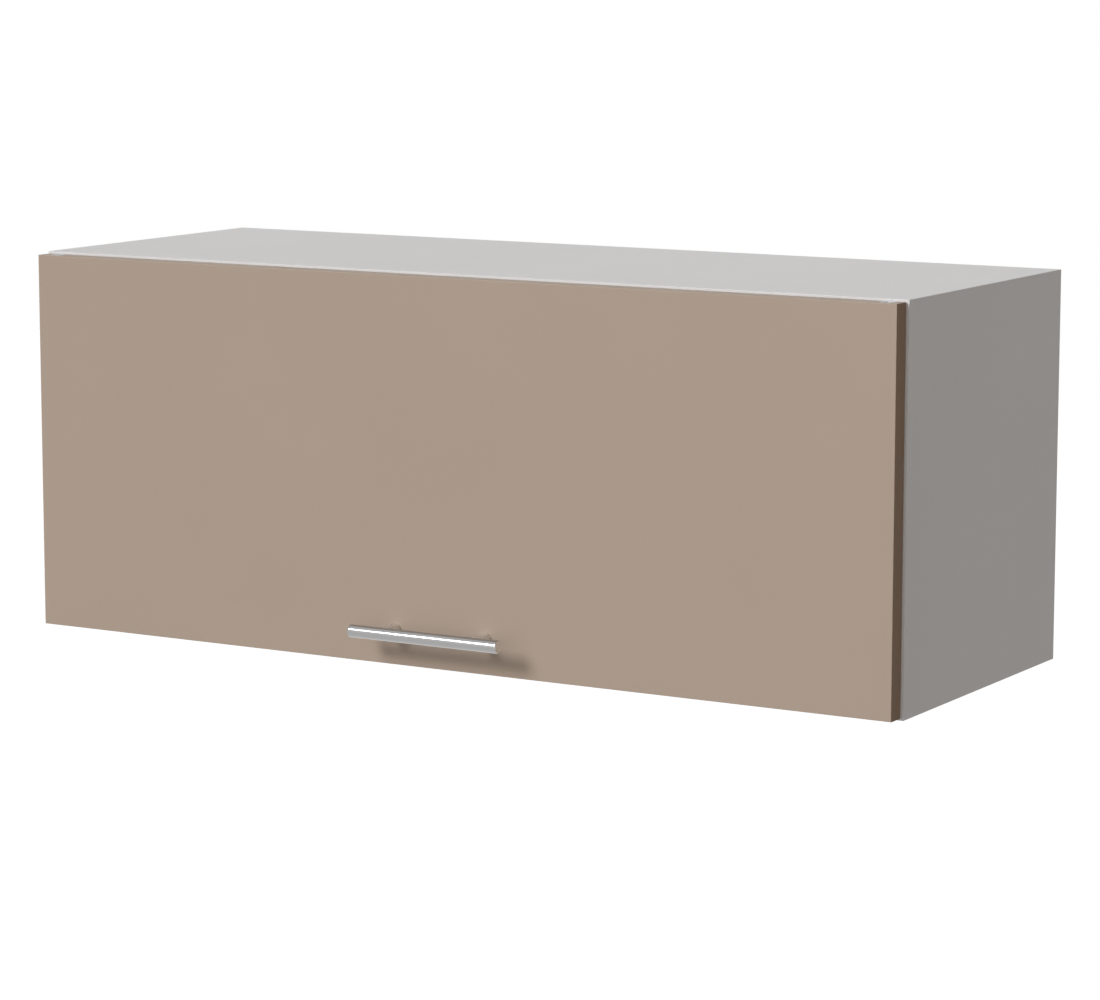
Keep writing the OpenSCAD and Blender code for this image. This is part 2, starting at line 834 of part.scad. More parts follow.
module door_buffers() {
  color([0.9, 0.9, 0.9])
    both_sides()
      rod_y(buffer_r, (inner_x + side_x) / 2, front_y - door_gap, front_y, bottom_z + buffer_z);
}

// ---------- handle ----------

module bar_axis() {
  translate([0, front_y + door_face - bar_off, top_z + door_bottom + bar_z]) children();
}

module handle_tube() {
  half = bar_len / 2 - cap_rim;
  color([0.8, 0.8, 0.82])
    bar_axis()
      difference() {
        rod_x(bar_d / 2, -half, half, 0, 0);
        rod_x(bar_d / 2 - bar_wall, -half - cut, half + cut, 0, 0);
      }
}

module handle_end_caps() {
  half = bar_len / 2 - cap_rim;
  chamfer = cap_rim / 2;
  color([0.78, 0.78, 0.8])
    bar_axis()
      both_sides() {
        rod_x(bar_d / 2, half, half + cap_rim - chamfer, 0, 0);
        translate([half + cap_rim - chamfer, 0, 0])
          rotate([0, 90, 0])
            cylinder(h = chamfer, r1 = bar_d / 2, r2 = bar_d / 2 - chamfer);
        rod_x(bar_d / 2 - bar_wall - fit, half - cap_plug, half, 0, 0);
      }
}

module handle_posts() {
  color([0.78, 0.78, 0.8])
    handle_places()
      difference() {
        rod_y(post_d / 2, 0, door_face - bar_off, door_face, 0);
        rod_x(bar_d / 2 + fit, -post_d, post_d, door_face - bar_off, 0);
        rod_y(handle_screw_r + fit, 0, door_face - handle_screw_in - handle_screw_space,
              door_face + cut, 0);
      }
}

module handle_screws() {
  color([0.75, 0.75, 0.77])
    handle_places()
      translate([0, door_back, 0])
        into_door() screw(handle_screw_r, door_t + handle_screw_in, head_r, head_h);
}

// ---------- pivot hinges ----------

module pivot_plate() {
  difference() {
    at_front()
      difference() {
        union() {
          rod_x(eye_r, plate_x, inner_x, axis_y, axis_z);
          box(plate_x, inner_x, axis_y - nose_w / 2, axis_y + nose_w / 2, nose_bottom, axis_z);
          box(plate_x, inner_x, axis_y - nose_w / 2, plate_in + cut, nose_bottom, nose_top);
          box(plate_x, inner_x, plate_in, plate_d, nose_top - plate_h, nose_top);
        }
        rod_x(hinge_pin_r + run, plate_x - cut, inner_x + cut, axis_y, axis_z);
      }
    pivot_screw_places() screw_hole(screw_r, plate_t + cut);
  }
}

module hinge_block() {
  slot_front = axis_y - eye_r - side_run;
  slot_bottom = nose_bottom - nose_run;
  difference() {
    at_front()
      difference() {
        union() {
          box(block_x0, block_x1, block_front, door_back, block_bottom, door_top);
          box(block_x0 - wing_w, block_x0 + cheek_t, door_back, door_back + wing_t,
              wing_top - wing_h, wing_top);
          // the wing is joined to the block below the top panel
          box(block_x0, block_x0 + cheek_t, door_back - 1, door_back + wing_t,
              block_bottom, wing_top);
        }
        box(slot_x0, slot_x1, slot_front, door_back + wing_t + cut, slot_bottom, door_top + cut);
        rod_x(hinge_pin_r + fit / 2, block_x0 - cut, block_x1 + cut, axis_y, axis_z);
      }
    wing_screw_places() screw_hole(door_screw_r, wing_t + cut);
  }
}

module hinge_pins() {
  color([0.75, 0.75, 0.77])
    both_sides()
      at_front() rod_x(hinge_pin_r, block_x0, block_x1, axis_y, axis_z);
}

module pivot_plate_left() { color([0.7, 0.7, 0.72]) left() pivot_plate(); }
module pivot_plate_right() { color([0.7, 0.7, 0.72]) pivot_plate(); }
module hinge_block_left() { color([0.65, 0.65, 0.67]) left() hinge_block(); }
module hinge_block_right() { color([0.65, 0.65, 0.67]) hinge_block(); }

module pivot_plate_screws() {
  color([0.75, 0.75, 0.77])
    both_sides() pivot_screw_places() screw(screw_r, screw_in + plate_t, head_r, head_h);
}

module hinge_block_screws() {
  color([0.75, 0.75, 0.77])
    both_sides()
      wing_screw_places() screw(door_screw_r, screw_in + wing_t, small_head_r, small_head_h);
}

// ---------- flap stays ----------

module stay_base() {
  difference() {
    at_front() {
      box(base_x, inner_x, base_front, base_rear, base_bottom, base_top);
      rod_x(boss_r, boss_x, base_x, stay_y, stay_z);
    }
    at_front() {
      rod_x(brake_r + fit, boss_x - cut, inner_x + cut, stay_y, stay_z);
      rod_x(brake_r + brake_rim + fit, brake_head_x - fit, inner_x + cut, stay_y, stay_z);
    }
    stay_screw_places() screw_hole(screw_r, base_t + cut);
  }
}

module stay_cover() {
  w = cover_wall;
  at_front()
    difference() {
      box(cover_x, base_x, base_front, base_rear, base_bottom, base_top);
      box(cover_x + w, base_x + cut, base_front + w, base_rear - w,
          base_bottom + w, base_top - w);
      rod_x(boss_r + boss_gap, cover_x - cut, base_x, stay_y, stay_z);
    }
}

module stay_lever() {
  at_front()
    difference() {
      arm(lever_x, disc1_x, stay_y, stay_z, joint_y, joint_z);
      rod_x(brake_r + run, lever_x - cut, disc1_x + cut, stay_y, stay_z);
      rod_x(arm_pin_r + fit / 2, lever_x - cut, disc1_x + cut, joint_y, joint_z);
    }
}

module stay_link() {
  at_front()
    difference() {
      arm(link_x, link_x + lever_t, joint_y, joint_z, bracket_y, bracket_z);
      rod_x(arm_pin_r + run, link_x - cut, link_x + lever_t + cut, joint_y, joint_z);
      rod_x(arm_pin_r + run, link_x - cut, link_x + lever_t + cut, bracket_y, bracket_z);
    }
}

// A headed pin that is fixed in the outer plate and carries the link
module arm_pin(y, z) {
  at_front() {
    rod_x(arm_pin_r, pin_x, disc1_x, y, z);
    rod_x(pin_head_r, pin_x - pin_head_t, pin_x, y, z);
  }
}

module door_bracket() {
  difference() {
    at_front() {
      difference() {
        union() {
          box(foot_x, disc1_x, door_back, door_back + bracket_t,
              bracket_z - foot_h / 2, bracket_z + foot_h / 2);
          box(lever_x, disc1_x, door_back, bracket_y,
              bracket_z - lever_w / 2, bracket_z + lever_w / 2);
          rod_x(arm_eye_r, lever_x, disc1_x, bracket_y, bracket_z);
        }
        rod_x(arm_pin_r + fit / 2, lever_x - cut, disc1_x + cut, bracket_y, bracket_z);
      }
    }
    bracket_screw_places() screw_hole(door_screw_r, bracket_t + cut);
  }
}

module friction_discs() {
  color([0.35, 0.33, 0.3])
    both_sides()
      at_front()
        for (x = [disc1_x, disc2_x])
          difference() {
            rod_x(boss_r, x, x + disc_t, stay_y, stay_z);
            rod_x(brake_r + fit, x - cut, x + disc_t + cut, stay_y, stay_z);
          }
}

module brake_bolts() {
  color([0.72, 0.72, 0.75])
    both_sides()
      at_front() {
        rod_x(brake_r, nut_x - brake_end, inner_x - brake_sink, stay_y, stay_z);
        rod_x(brake_r + brake_rim, brake_head_x, inner_x - brake_sink, stay_y, stay_z);
      }
}

module brake_nuts() {
  color([0.2, 0.2, 0.2])
    both_sides()
      at_front()
        difference() {
          translate([nut_x, stay_y, stay_z])
            rotate([0, 90, 0]) cylinder(h = nut_t, r = boss_r, $fn = 6);
          rod_x(brake_r + fit, nut_x - cut, disc2_x + cut, stay_y, stay_z);
        }
}

module stay_base_left() { color([0.7, 0.7, 0.72]) left() stay_base(); }
module stay_base_right() { color([0.7, 0.7, 0.72]) stay_base(); }
module stay_cover_left() { color([0.93, 0.93, 0.92]) left() stay_cover(); }
module stay_cover_right() { color([0.93, 0.93, 0.92]) stay_cover(); }
module stay_lever_left() { color([0.72, 0.72, 0.75]) left() stay_lever(); }
module stay_lever_right() { color([0.72, 0.72, 0.75]) stay_lever(); }
module stay_link_left() { color([0.72, 0.72, 0.75]) left() stay_link(); }
module stay_link_right() { color([0.72, 0.72, 0.75]) stay_link(); }
module lever_pin_left() { color([0.78, 0.78, 0.8]) left() arm_pin(joint_y, joint_z); }
module lever_pin_right() { color([0.78, 0.78, 0.8]) arm_pin(joint_y, joint_z); }
module bracket_pins() { color([0.78, 0.78, 0.8]) both_sides() arm_pin(bracket_y, bracket_z); }
module door_bracket_left() { color([0.7, 0.7, 0.72]) left() door_bracket(); }
module door_bracket_right() { color([0.7, 0.7, 0.72]) door_bracket(); }

module stay_screws() {
  color([0.75, 0.75, 0.77])
    both_sides() stay_screw_places() screw(screw_r, screw_in + base_t, head_r, head_h);
}

module bracket_screws() {
  color([0.75, 0.75, 0.77])
    both_sides()
      bracket_screw_places()
        screw(door_screw_r, screw_in + bracket_t, small_head_r, small_head_h);
}

// ---------- nodes ----------

side_panel_left();
side_panel_right();
top_panel();
bottom_panel();
back_panel();
carcass_edge_bands();
back_panel_clips();
back_clip_screws();
cam_housings();
cam_bolts();
cam_caps();
wood_dowels();
hanger_casing_left();
hanger_casing_right();
hanger_hook_left();
hanger_hook_right();
hanger_adjusters();
hanger_cover_left();
hanger_cover_right();
hanger_screws();
wall_plate_left();
wall_plate_right();
door_panel();
door_edge_bands();
door_buffers();
handle_tube();
handle_end_caps();
handle_posts();
handle_screws();
pivot_plate_left();
pivot_plate_right();
pivot_plate_screws();
hinge_block_left();
hinge_block_right();
hinge_pins();
hinge_block_screws();
stay_base_left();
stay_base_right();
stay_cover_left();
stay_cover_right();
stay_lever_left();
stay_lever_right();
friction_discs();
brake_bolts();
brake_nuts();
lever_pin_left();
lever_pin_right();
stay_link_left();
stay_link_right();
door_bracket_left();
door_bracket_right();
bracket_pins();
stay_screws();
bracket_screws();
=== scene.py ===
# %% [markdown]
# # A lift up wall cabinet
# The cabinet is a box of white boards with one greige flap door. The door turns on two pins near its
# upper edge, two friction stays hold it open, and two hooks hang the box on wall plates.
# The construction comes in as a fixed frame. Each step below takes one group of pieces, looks at what
# the real ones are made of, and gives them their edges, small forms and finishes.

# %% Load the frame and keep its box
import json
import math

import bmesh
import bpy
from mathutils import Matrix, Vector


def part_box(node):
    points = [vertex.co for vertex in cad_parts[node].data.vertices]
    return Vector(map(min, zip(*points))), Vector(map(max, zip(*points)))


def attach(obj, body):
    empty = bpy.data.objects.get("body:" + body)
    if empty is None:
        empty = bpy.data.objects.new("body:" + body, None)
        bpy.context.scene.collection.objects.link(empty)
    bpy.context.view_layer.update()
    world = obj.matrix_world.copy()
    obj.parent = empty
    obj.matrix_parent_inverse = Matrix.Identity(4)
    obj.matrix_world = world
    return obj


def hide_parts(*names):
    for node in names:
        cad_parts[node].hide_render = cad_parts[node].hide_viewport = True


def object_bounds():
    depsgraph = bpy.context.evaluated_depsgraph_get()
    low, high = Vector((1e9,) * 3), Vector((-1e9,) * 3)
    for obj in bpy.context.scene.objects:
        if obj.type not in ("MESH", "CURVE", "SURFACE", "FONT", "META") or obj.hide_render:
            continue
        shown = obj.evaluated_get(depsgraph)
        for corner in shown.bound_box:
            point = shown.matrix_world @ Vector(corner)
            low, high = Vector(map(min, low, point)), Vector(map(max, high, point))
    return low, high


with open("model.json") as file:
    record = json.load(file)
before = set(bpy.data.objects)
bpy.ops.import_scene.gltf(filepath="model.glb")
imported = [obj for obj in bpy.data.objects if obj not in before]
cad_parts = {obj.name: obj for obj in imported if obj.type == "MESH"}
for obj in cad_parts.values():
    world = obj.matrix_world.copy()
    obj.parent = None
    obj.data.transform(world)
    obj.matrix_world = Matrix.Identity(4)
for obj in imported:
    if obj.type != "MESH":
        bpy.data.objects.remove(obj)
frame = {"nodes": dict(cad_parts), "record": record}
cad_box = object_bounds()
MM = 0.001
scene = bpy.context.scene


def put(name, data):
    """A new object in the scene that holds the data."""
    made = bpy.data.objects.new(name, data)
    scene.collection.objects.link(made)
    return made


print("box, mm:", [round((b - a) / MM, 1) for a, b in zip(*cad_box)])

# %% [markdown]
# ## Camera
# The photograph looks at the cabinet from the right and a little from above, through a long lens, so
# upright lines stay nearly parallel. The camera could be turned with a constraint that tracks a point,
# but three plain angles are easier to compare with what was measured in the photograph.

# %% Camera
CAMERA_PLACE = (1.8177, -3.2328, 0.3828)
CAMERA_TURN = 30.489
CAMERA_DOWN = 8.706
CAMERA_ROLL = 0.04
LEVEL = 90.0  # an unturned camera looks straight down
FOCAL_LENGTH = 126.42
SENSOR_WIDTH = 36.0
NEAREST, FARTHEST = 0.1, 100.0

camera_data = bpy.data.cameras.new("photo_camera")
camera_data.lens = FOCAL_LENGTH
camera_data.sensor_width = SENSOR_WIDTH
camera_data.clip_start = NEAREST
camera_data.clip_end = FARTHEST
camera = put("photo_camera", camera_data)
turn = Matrix.Rotation(math.radians(CAMERA_TURN), 4, "Z")
tilt = Matrix.Rotation(math.radians(LEVEL - CAMERA_DOWN), 4, "X")
roll = Matrix.Rotation(math.radians(CAMERA_ROLL), 4, "Z")
camera.matrix_world = Matrix.Translation(CAMERA_PLACE) @ turn @ tilt @ roll
scene.camera = camera
scene.view_settings.view_transform = "Standard"
print("camera distance, m:", round(Vector(CAMERA_PLACE).length, 3))

# %% [markdown]
# ## Helpers for node trees
# Materials and Geometry Nodes are both node trees, so one function can add a node to either: settings
# are the node's own choices, inputs are sockets, and an input may be a number or another node's output.

# %% Node helpers
def add(tree, kind, inputs=(), **settings):
    """Adds a node. A value in inputs is linked if it is a socket or a node, and typed in otherwise."""
    made = tree.nodes.new(kind)
    for name, value in settings.items():
        setattr(made, name, value)
    for key, value in dict(inputs).items():
        if isinstance(value, bpy.types.Node):
            value = value.outputs[0]
        if isinstance(value, bpy.types.NodeSocket):
            tree.links.new(value, made.inputs[key])
        else:
            made.inputs[key].default_value = value
    return made


def calc(tree, operation, a, b=0.0):
    """One step of arithmetic, as the output socket of a Math node."""
    return add(tree, "ShaderNodeMath", {0: a, 1: b}, operation=operation).outputs[0]


def times(tree, a, b):
    """The product of two numbers or sockets."""
    return calc(tree, "MULTIPLY", a, b)


KNEE, SLOPE, LIFT, GAMMA = 0.04045, 12.92, 0.055, 2.4


def linear(*rgb):
    """Turns a picture's colour, in steps from 0 to 255, into light amounts by the curve of screens."""
    shares = [c / 255.0 for c in rgb]
    return tuple(s / SLOPE if s <= KNEE else ((s + LIFT) / (1.0 + LIFT)) ** GAMMA for s in shares)


# %% [markdown]
# ## Light
# The front is the brightest side, the top is a little darker and the right side is in plain shade, so
# the main lamp stands in front, to the left and above. The shadow of the handle on the door gives its
# direction. Sun lamps are used because they light every view alike. A wide, weak sun from the front
# fills in, a third and much weaker one tints the shaded side, and the world gives the rest. The camera,
# mirrors and glass see the world as plain white.

# %% Lamps and world
SKY = (0.190, 0.175, 0.162)


def sun(name, towards, strength, angle, colour):
    """A lamp that shines evenly from one direction; a wide angle makes its shadows soft."""
    lamp = bpy.data.lights.new(name, "SUN")
    lamp.energy = strength
    lamp.angle = math.radians(angle)
    lamp.color = colour
    put(name, lamp).rotation_euler = Vector(towards).to_track_quat("Z", "Y").to_euler()


sun("key_sun", towards=(-0.381, -0.737, 0.559), strength=2.0, angle=22.0, colour=(0.985, 1.0, 1.02))
sun("fill_sun", towards=(0.0, -1.0, 0.1), strength=0.84, angle=60.0, colour=(1.0, 0.96, 0.92))
sun("side_sun", towards=(1.0, 0.0, -0.1), strength=0.09, angle=60.0, colour=(1.0, 0.5, 0.2))


def seen_directly(tree):
    """1 for rays from the camera, a mirror or glass, and 0 for all other light."""
    path = add(tree, "ShaderNodeLightPath")
    mirror = calc(tree, "MAXIMUM", path.outputs["Is Glossy Ray"], path.outputs["Is Transmission Ray"])
    return calc(tree, "MAXIMUM", path.outputs["Is Camera Ray"], mirror)


world = bpy.data.worlds.new("studio")
world.use_nodes = True
scene.world = world
tree = world.node_tree
tree.nodes.clear()
sky = add(tree, "ShaderNodeBackground", {"Color": (*SKY, 1.0), "Strength": 1.0})
white = add(tree, "ShaderNodeBackground", {"Color": (1.0, 1.0, 1.0, 1.0), "Strength": 1.0})
mixed = add(tree, "ShaderNodeMixShader", {0: seen_directly(tree), 1: sky, 2: white})
add(tree, "ShaderNodeOutputWorld", {"Surface": mixed})

# %% [markdown]
# ## Floor
# The cabinet hangs on a wall, so a floor lies well below it. It is a pale sheet that keeps the shadow
# of the cabinet, and it gets just enough light of its own, for the camera alone, to melt into the white.

# %% Floor
FLOOR_DROP = 1.4
FLOOR_HALF = 12.0
FLOOR_WHITE = 0.5
FLOOR_GLOW = 0.76

bm = bmesh.new()
bmesh.ops.create_grid(bm, x_segments=1, y_segments=1, size=FLOOR_HALF)
bmesh.ops.translate(bm, verts=bm.verts, vec=(0.0, 0.0, cad_box[0].z - FLOOR_DROP))
floor_mesh = bpy.data.meshes.new("floor")
bm.to_mesh(floor_mesh)
bm.free()
floor = put("floor", floor_mesh)
paper = bpy.data.materials.new("studio_paper")
paper.use_nodes = True
tree = paper.node_tree
tree.nodes.clear()
diffuse = add(tree, "ShaderNodeBsdfDiffuse", {"Color": (FLOOR_WHITE,) * 3 + (1.0,)})
glow_strength = times(tree, seen_directly(tree), FLOOR_GLOW)
glow = add(tree, "ShaderNodeEmission", {"Strength": glow_strength})
total = add(tree, "ShaderNodeAddShader", {0: diffuse, 1: glow})
add(tree, "ShaderNodeOutputMaterial", {"Surface": total})
floor_mesh.materials.append(paper)
print("floor, m below the cabinet:", FLOOR_DROP)

# %% [markdown]
# ## Helpers for materials
# A finished board or sheet is never one flat colour: it has a faint cloudiness, a roughness that
# wanders a little, and a fine relief. All patterns read Object coordinates, which are metres here, so a
# scale of 1000 means one wave for each millimetre.

# %% Material helpers
def surface(name, colour, roughness, metallic=0.0, stretch=(1.0, 1.0, 1.0), **sockets):
    """Starts a material. Returns it, its tree, its shader and the stretched object coordinates."""
    made = bpy.data.materials.new(name)
    made.use_nodes = True
    tree = made.node_tree
    shader = tree.nodes["Principled BSDF"]
    shader.inputs["Base Color"].default_value = (*colour, 1.0)
    shader.inputs["Roughness"].default_value = roughness
    shader.inputs["Metallic"].default_value = metallic
    for socket, value in sockets.items():
        shader.inputs[socket.replace("_", " ")].default_value = value
    place = add(tree, "ShaderNodeTexCoord").outputs["Object"]
    scaled = add(tree, "ShaderNodeMapping", {"Vector": place, "Scale": stretch}).outputs[0]
    return made, tree, shader, scaled


def noise(tree, place, scale, detail=2.0, roughness=0.5):
    """A cloudy pattern between 0 and 1."""
    inputs = {"Vector": place, "Scale": scale, "Detail": detail, "Roughness": roughness}
    return add(tree, "ShaderNodeTexNoise", inputs).outputs[0]


def tint(tree, shader, amount, *stops):
    """Colours the shader by an amount; a stop is a place between 0 and 1 and a colour."""
    made = add(tree, "ShaderNodeValToRGB", {0: amount})
    steps = made.color_ramp.elements
    while len(steps) < len(stops):
        steps.new(0.5)
    for step, (position, colour) in zip(steps, stops):
        step.position = position
        step.color = (*colour, 1.0)
    tree.links.new(made.outputs[0], shader.inputs["Base Color"])


def shade(colour, share):
    """A colour made lighter or darker by a share."""
    return tuple(min(1.0, c * share) for c in colour)


def cloud(tree, shader, place, colour, scale, amount):
    """Lets the colour wander between a little darker and a little lighter."""
    stops = (0.3, shade(colour, 1.0 - amount)), (0.7, shade(colour, 1.0 + amount))
    tint(tree, shader, noise(tree, place, scale), *stops)


def wander(tree, shader, place, scale, low, high):
    """Lets the roughness wander between two values."""
    inputs = {"Value": noise(tree, place, scale), "To Min": low, "To Max": high}
    made = add(tree, "ShaderNodeMapRange", inputs)
    tree.links.new(made.outputs[0], shader.inputs["Roughness"])


def relief(tree, shader, height, depth):
    """Turns a pattern into a relief of that depth, in metres."""
    made = add(tree, "ShaderNodeBump", {"Height": height, "Distance": depth, "Strength": 1.0})
    tree.links.new(made.outputs[0], shader.inputs["Normal"])


# %% [markdown]
# ## Finishes
# The boards are melamine faced chipboard: a hard white skin with a fine pearl relief. Where a board is
# cut, its core of pressed wood chips shows, as on the rear edges and in the bores. The door has a matt
# foil, and its two ends are darker: partly the tone of their band, partly painted shade. The rear of the
# hardboard back carries the print of the mesh it was pressed on. Metal pieces are zinc plated sheet, die
# casting, turned steel or satin steel.

# %% Board finishes
WHITE_BOARD = (0.79, 0.79, 0.79)
DOOR_FOIL = linear(171, 154, 139)
# the band colour of the door's two ends: partly the band's own tone, darkened further by painted shade
DOOR_EDGE_AND_SHADE = (0.318, 0.224, 0.160)
HARDBOARD = (0.34, 0.22, 0.13)
ALONG_EDGES = (25.0, 450.0, 25.0)
CHIP_LAYERS = (420.0, 0.35), (1300.0, 0.65)
CHIP_BEND = 0.0015
CHIP_BROWNS = (0.0, (0.30, 0.19, 0.10)), (0.3, (0.62, 0.46, 0.29)), (1.0, (0.80, 0.66, 0.46))


def pearl_board(name, colour, roughness, pearl=900.0, depth=0.03 * MM):
    """A coated board: pearl relief, faint clouds and a roughness that wanders."""
    made, tree, shader, place = surface(name, colour, roughness, Specular_IOR_Level=0.35)
    cloud(tree, shader, place, colour, scale=6.0, amount=0.012)
    wander(tree, shader, place, scale=90.0, low=roughness - 0.04, high=roughness + 0.04)
    fine, coarse = noise(tree, place, pearl), noise(tree, place, pearl * 0.4)
    relief(tree, shader, calc(tree, "ADD", fine, coarse), depth)
    return made


def chipboard():
    """The core of a board: coarse and fine chips of several browns, pressed together with dark gaps."""
    made, tree, shader, place = surface("raw_chipboard", (0.6, 0.45, 0.28), 0.85)
    layers = []
    for scale, share in CHIP_LAYERS:
        bent = add(tree, "ShaderNodeTexNoise", {"Vector": place, "Scale": scale * 1.5})
        mixed = add(tree, "ShaderNodeVectorMath", {0: bent.outputs["Color"], 1: (CHIP_BEND,) * 3},
                    operation="MULTIPLY")
        shifted = add(tree, "ShaderNodeVectorMath", {0: place, 1: mixed}, operation="ADD")
        cells = add(tree, "ShaderNodeTexVoronoi", {"Vector": shifted, "Scale": scale})
        chance = add(tree, "ShaderNodeSeparateColor", {0: cells.outputs["Color"]}).outputs[0]
        layers.append(times(tree, chance, share))
    chips = calc(tree, "ADD", *layers)
    tint(tree, shader, chips, *CHIP_BROWNS)
    relief(tree, shader, calc(tree, "ADD", chips, noise(tree, place, 2500.0, detail=4.0)), 0.25 * MM)
    return made


def mesh_hardboard():
    """The rear of the hardboard: brown fibres with the woven print of the press mesh."""
    made, tree, shader, place = surface("hardboard_rear", HARDBOARD, 0.8)
    clouds = times(tree, noise(tree, place, 14.0), 0.4)
    strands = times(tree, noise(tree, place, 650.0, detail=4.0, roughness=0.7), 0.6)
    browns = (0.35, shade(HARDBOARD, 0.78)), (0.65, shade(HARDBOARD, 1.22))
    tint(tree, shader, calc(tree, "ADD", clouds, strands), *browns)
    waves = [
        add(tree, "ShaderNodeTexWave", {"Vector": place, "Scale": 120.0, "Distortion": 0.6},
            bands_direction=direction).outputs[1]
        for direction in ("X", "Z")
    ]
    woven = calc(tree, "ADD", times(tree, *waves), noise(tree, place, 900.0))
    relief(tree, shader, woven, 0.3 * MM)
    return made


def banded_edge(name, colour, roughness, gloss, streaks):
    """A glued edge band: a smooth strip with faint streaks along the edge."""
    made, tree, shader, place = surface(name, colour, roughness, stretch=ALONG_EDGES,
                                        Specular_IOR_Level=gloss)
    cloud(tree, shader, place, colour, scale=1.0, amount=streaks)
    relief(tree, shader, noise(tree, place, 1.6, detail=3.0), 0.03 * MM)
    return made


white_board = pearl_board("white_melamine", WHITE_BOARD, 0.5)
door_foil = pearl_board("greige_foil", DOOR_FOIL, 0.55, pearl=700.0, depth=0.04 * MM)
raw_core = chipboard()
white_back = shade(WHITE_BOARD, 0.98)
white_hardboard = pearl_board("white_hardboard", white_back, 0.45, pearl=1200.0, depth=0.02 * MM)
hardboard_rear = mesh_hardboard()
white_edge = banded_edge("white_edge_band", shade(WHITE_BOARD, 0.97), 0.4, gloss=0.35, streaks=0.01)
# the door's end band: its darkness is partly its own tone and partly painted shade
door_edge_and_shade = banded_edge("greige_edge_band_and_shade", DOOR_EDGE_AND_SHADE, 0.6, gloss=0.08, streaks=0.05)
print("board finishes:", len(bpy.data.materials) - 1)


# %% Metal and plastic finishes
def brushed(name, colour, low, high, lines, **sockets):
    """Metal with fine lines: noise that is stretched along them."""
    made, tree, shader, place = surface(name, colour, low, metallic=1.0, stretch=lines, **sockets)
    wander(tree, shader, place, 1.0, low, high)
    relief(tree, shader, noise(tree, place, 1.0, detail=3.0), 0.01 * MM)
    return made


def plated(name, colour, low, high, scale=160.0, depth=0.02 * MM):
    """Zinc plated, cast or turned metal: a cloudy tone and a grain that breaks up the gloss."""
    made, tree, shader, place = surface(name, colour, low, metallic=1.0)
    cloud(tree, shader, place, colour, scale, amount=0.06)
    wander(tree, shader, place, scale * 2.0, low, high)
    relief(tree, shader, noise(tree, place, scale * 10.0, detail=3.0), depth)
    return made


def moulded(name, colour, roughness, depth=0.03 * MM, **sockets):
    """Moulded plastic or rubber with the fine erosion grain of its mould."""
    made, tree, shader, place = surface(name, colour, roughness, **sockets)
    cloud(tree, shader, place, colour, scale=60.0, amount=0.015)
    relief(tree, shader, noise(tree, place, 1600.0), depth)
    return made


def beech():
    """Beech: pale wood with stretched grain and short dark flecks along the dowel."""
    made, tree, shader, place = surface("beech", (0.6, 0.42, 0.25), 0.6, stretch=(60.0, 900.0, 900.0))
    stops = (0.3, (0.48, 0.32, 0.18)), (0.6, (0.64, 0.46, 0.29)), (1.0, (0.70, 0.53, 0.35))
    grain = noise(tree, place, 1.0, detail=4.0)
    tint(tree, shader, grain, *stops)
    relief(tree, shader, grain, 0.05 * MM)
    return made


ALONG_X = (40.0, 4000.0, 4000.0)
SMOOTH = {"scale": 200.0, "depth": 0.004 * MM}
handle_steel = brushed("satin_steel", (0.33, 0.33, 0.33), 0.12, 0.20, ALONG_X,
                       Coat_Weight=1.0, Coat_Roughness=0.1)
post_steel = plated("turned_steel", (0.74, 0.74, 0.735), 0.24, 0.32, **SMOOTH)
bright_steel = plated("polished_steel", (0.84, 0.84, 0.83), 0.30, 0.38, **SMOOTH)
zinc_plate = plated("zinc_plated_sheet", (0.60, 0.61, 0.63), 0.32, 0.45)
zinc_cast = plated("zinc_casting", (0.50, 0.50, 0.51), 0.42, 0.55, scale=300.0, depth=0.04 * MM)
screw_steel = plated("screw_steel", (0.62, 0.61, 0.58), 0.22, 0.34, scale=500.0, depth=0.01 * MM)
white_plastic = moulded("white_plastic", (0.76, 0.76, 0.75), 0.42)
dark_nylon = moulded("dark_nylon", (0.035, 0.035, 0.037), 0.5)
soft_buffer = moulded("soft_buffer", (0.80, 0.80, 0.78), 0.3, depth=0.01 * MM, Transmission_Weight=0.4)
friction_pad = moulded("friction_lining", (0.09, 0.075, 0.06), 0.8, depth=0.12 * MM)
beech_wood = beech()
print("all finishes:", len(bpy.data.materials) - 1)

# %% [markdown]
# ## Helpers for pieces
# A node of the frame is exact, but its edges are knife sharp and its mesh is loose triangles. The helpers
# below copy it, merge the triangles into faces, round edges in one or more rounds and give each face its
# finish. A round has a radius, a rule that picks the edges, and a number of steps. The frame's node is
# then hidden and the new piece rides on the same body. A Weighted Normal modifier keeps the large faces
# flat to the light while the small rounded edges catch it.

# %% Piece helpers
body_of = {n: body for body, names in frame["record"]["behaviour"]["bodies"].items() for n in names}
MERGE = 0.001 * MM
TOUCH = 0.02 * MM
FLAT = math.radians(0.5)
SHARP = math.radians(35.0)
X, Y, Z = range(3)


def evaluated(holder):
    """The mesh of an object with its modifiers made real; the object itself goes away."""
    view = bpy.context.evaluated_depsgraph_get()
    mesh = bpy.data.meshes.new_from_object(holder.evaluated_get(view))
    bpy.data.objects.remove(holder)
    return mesh


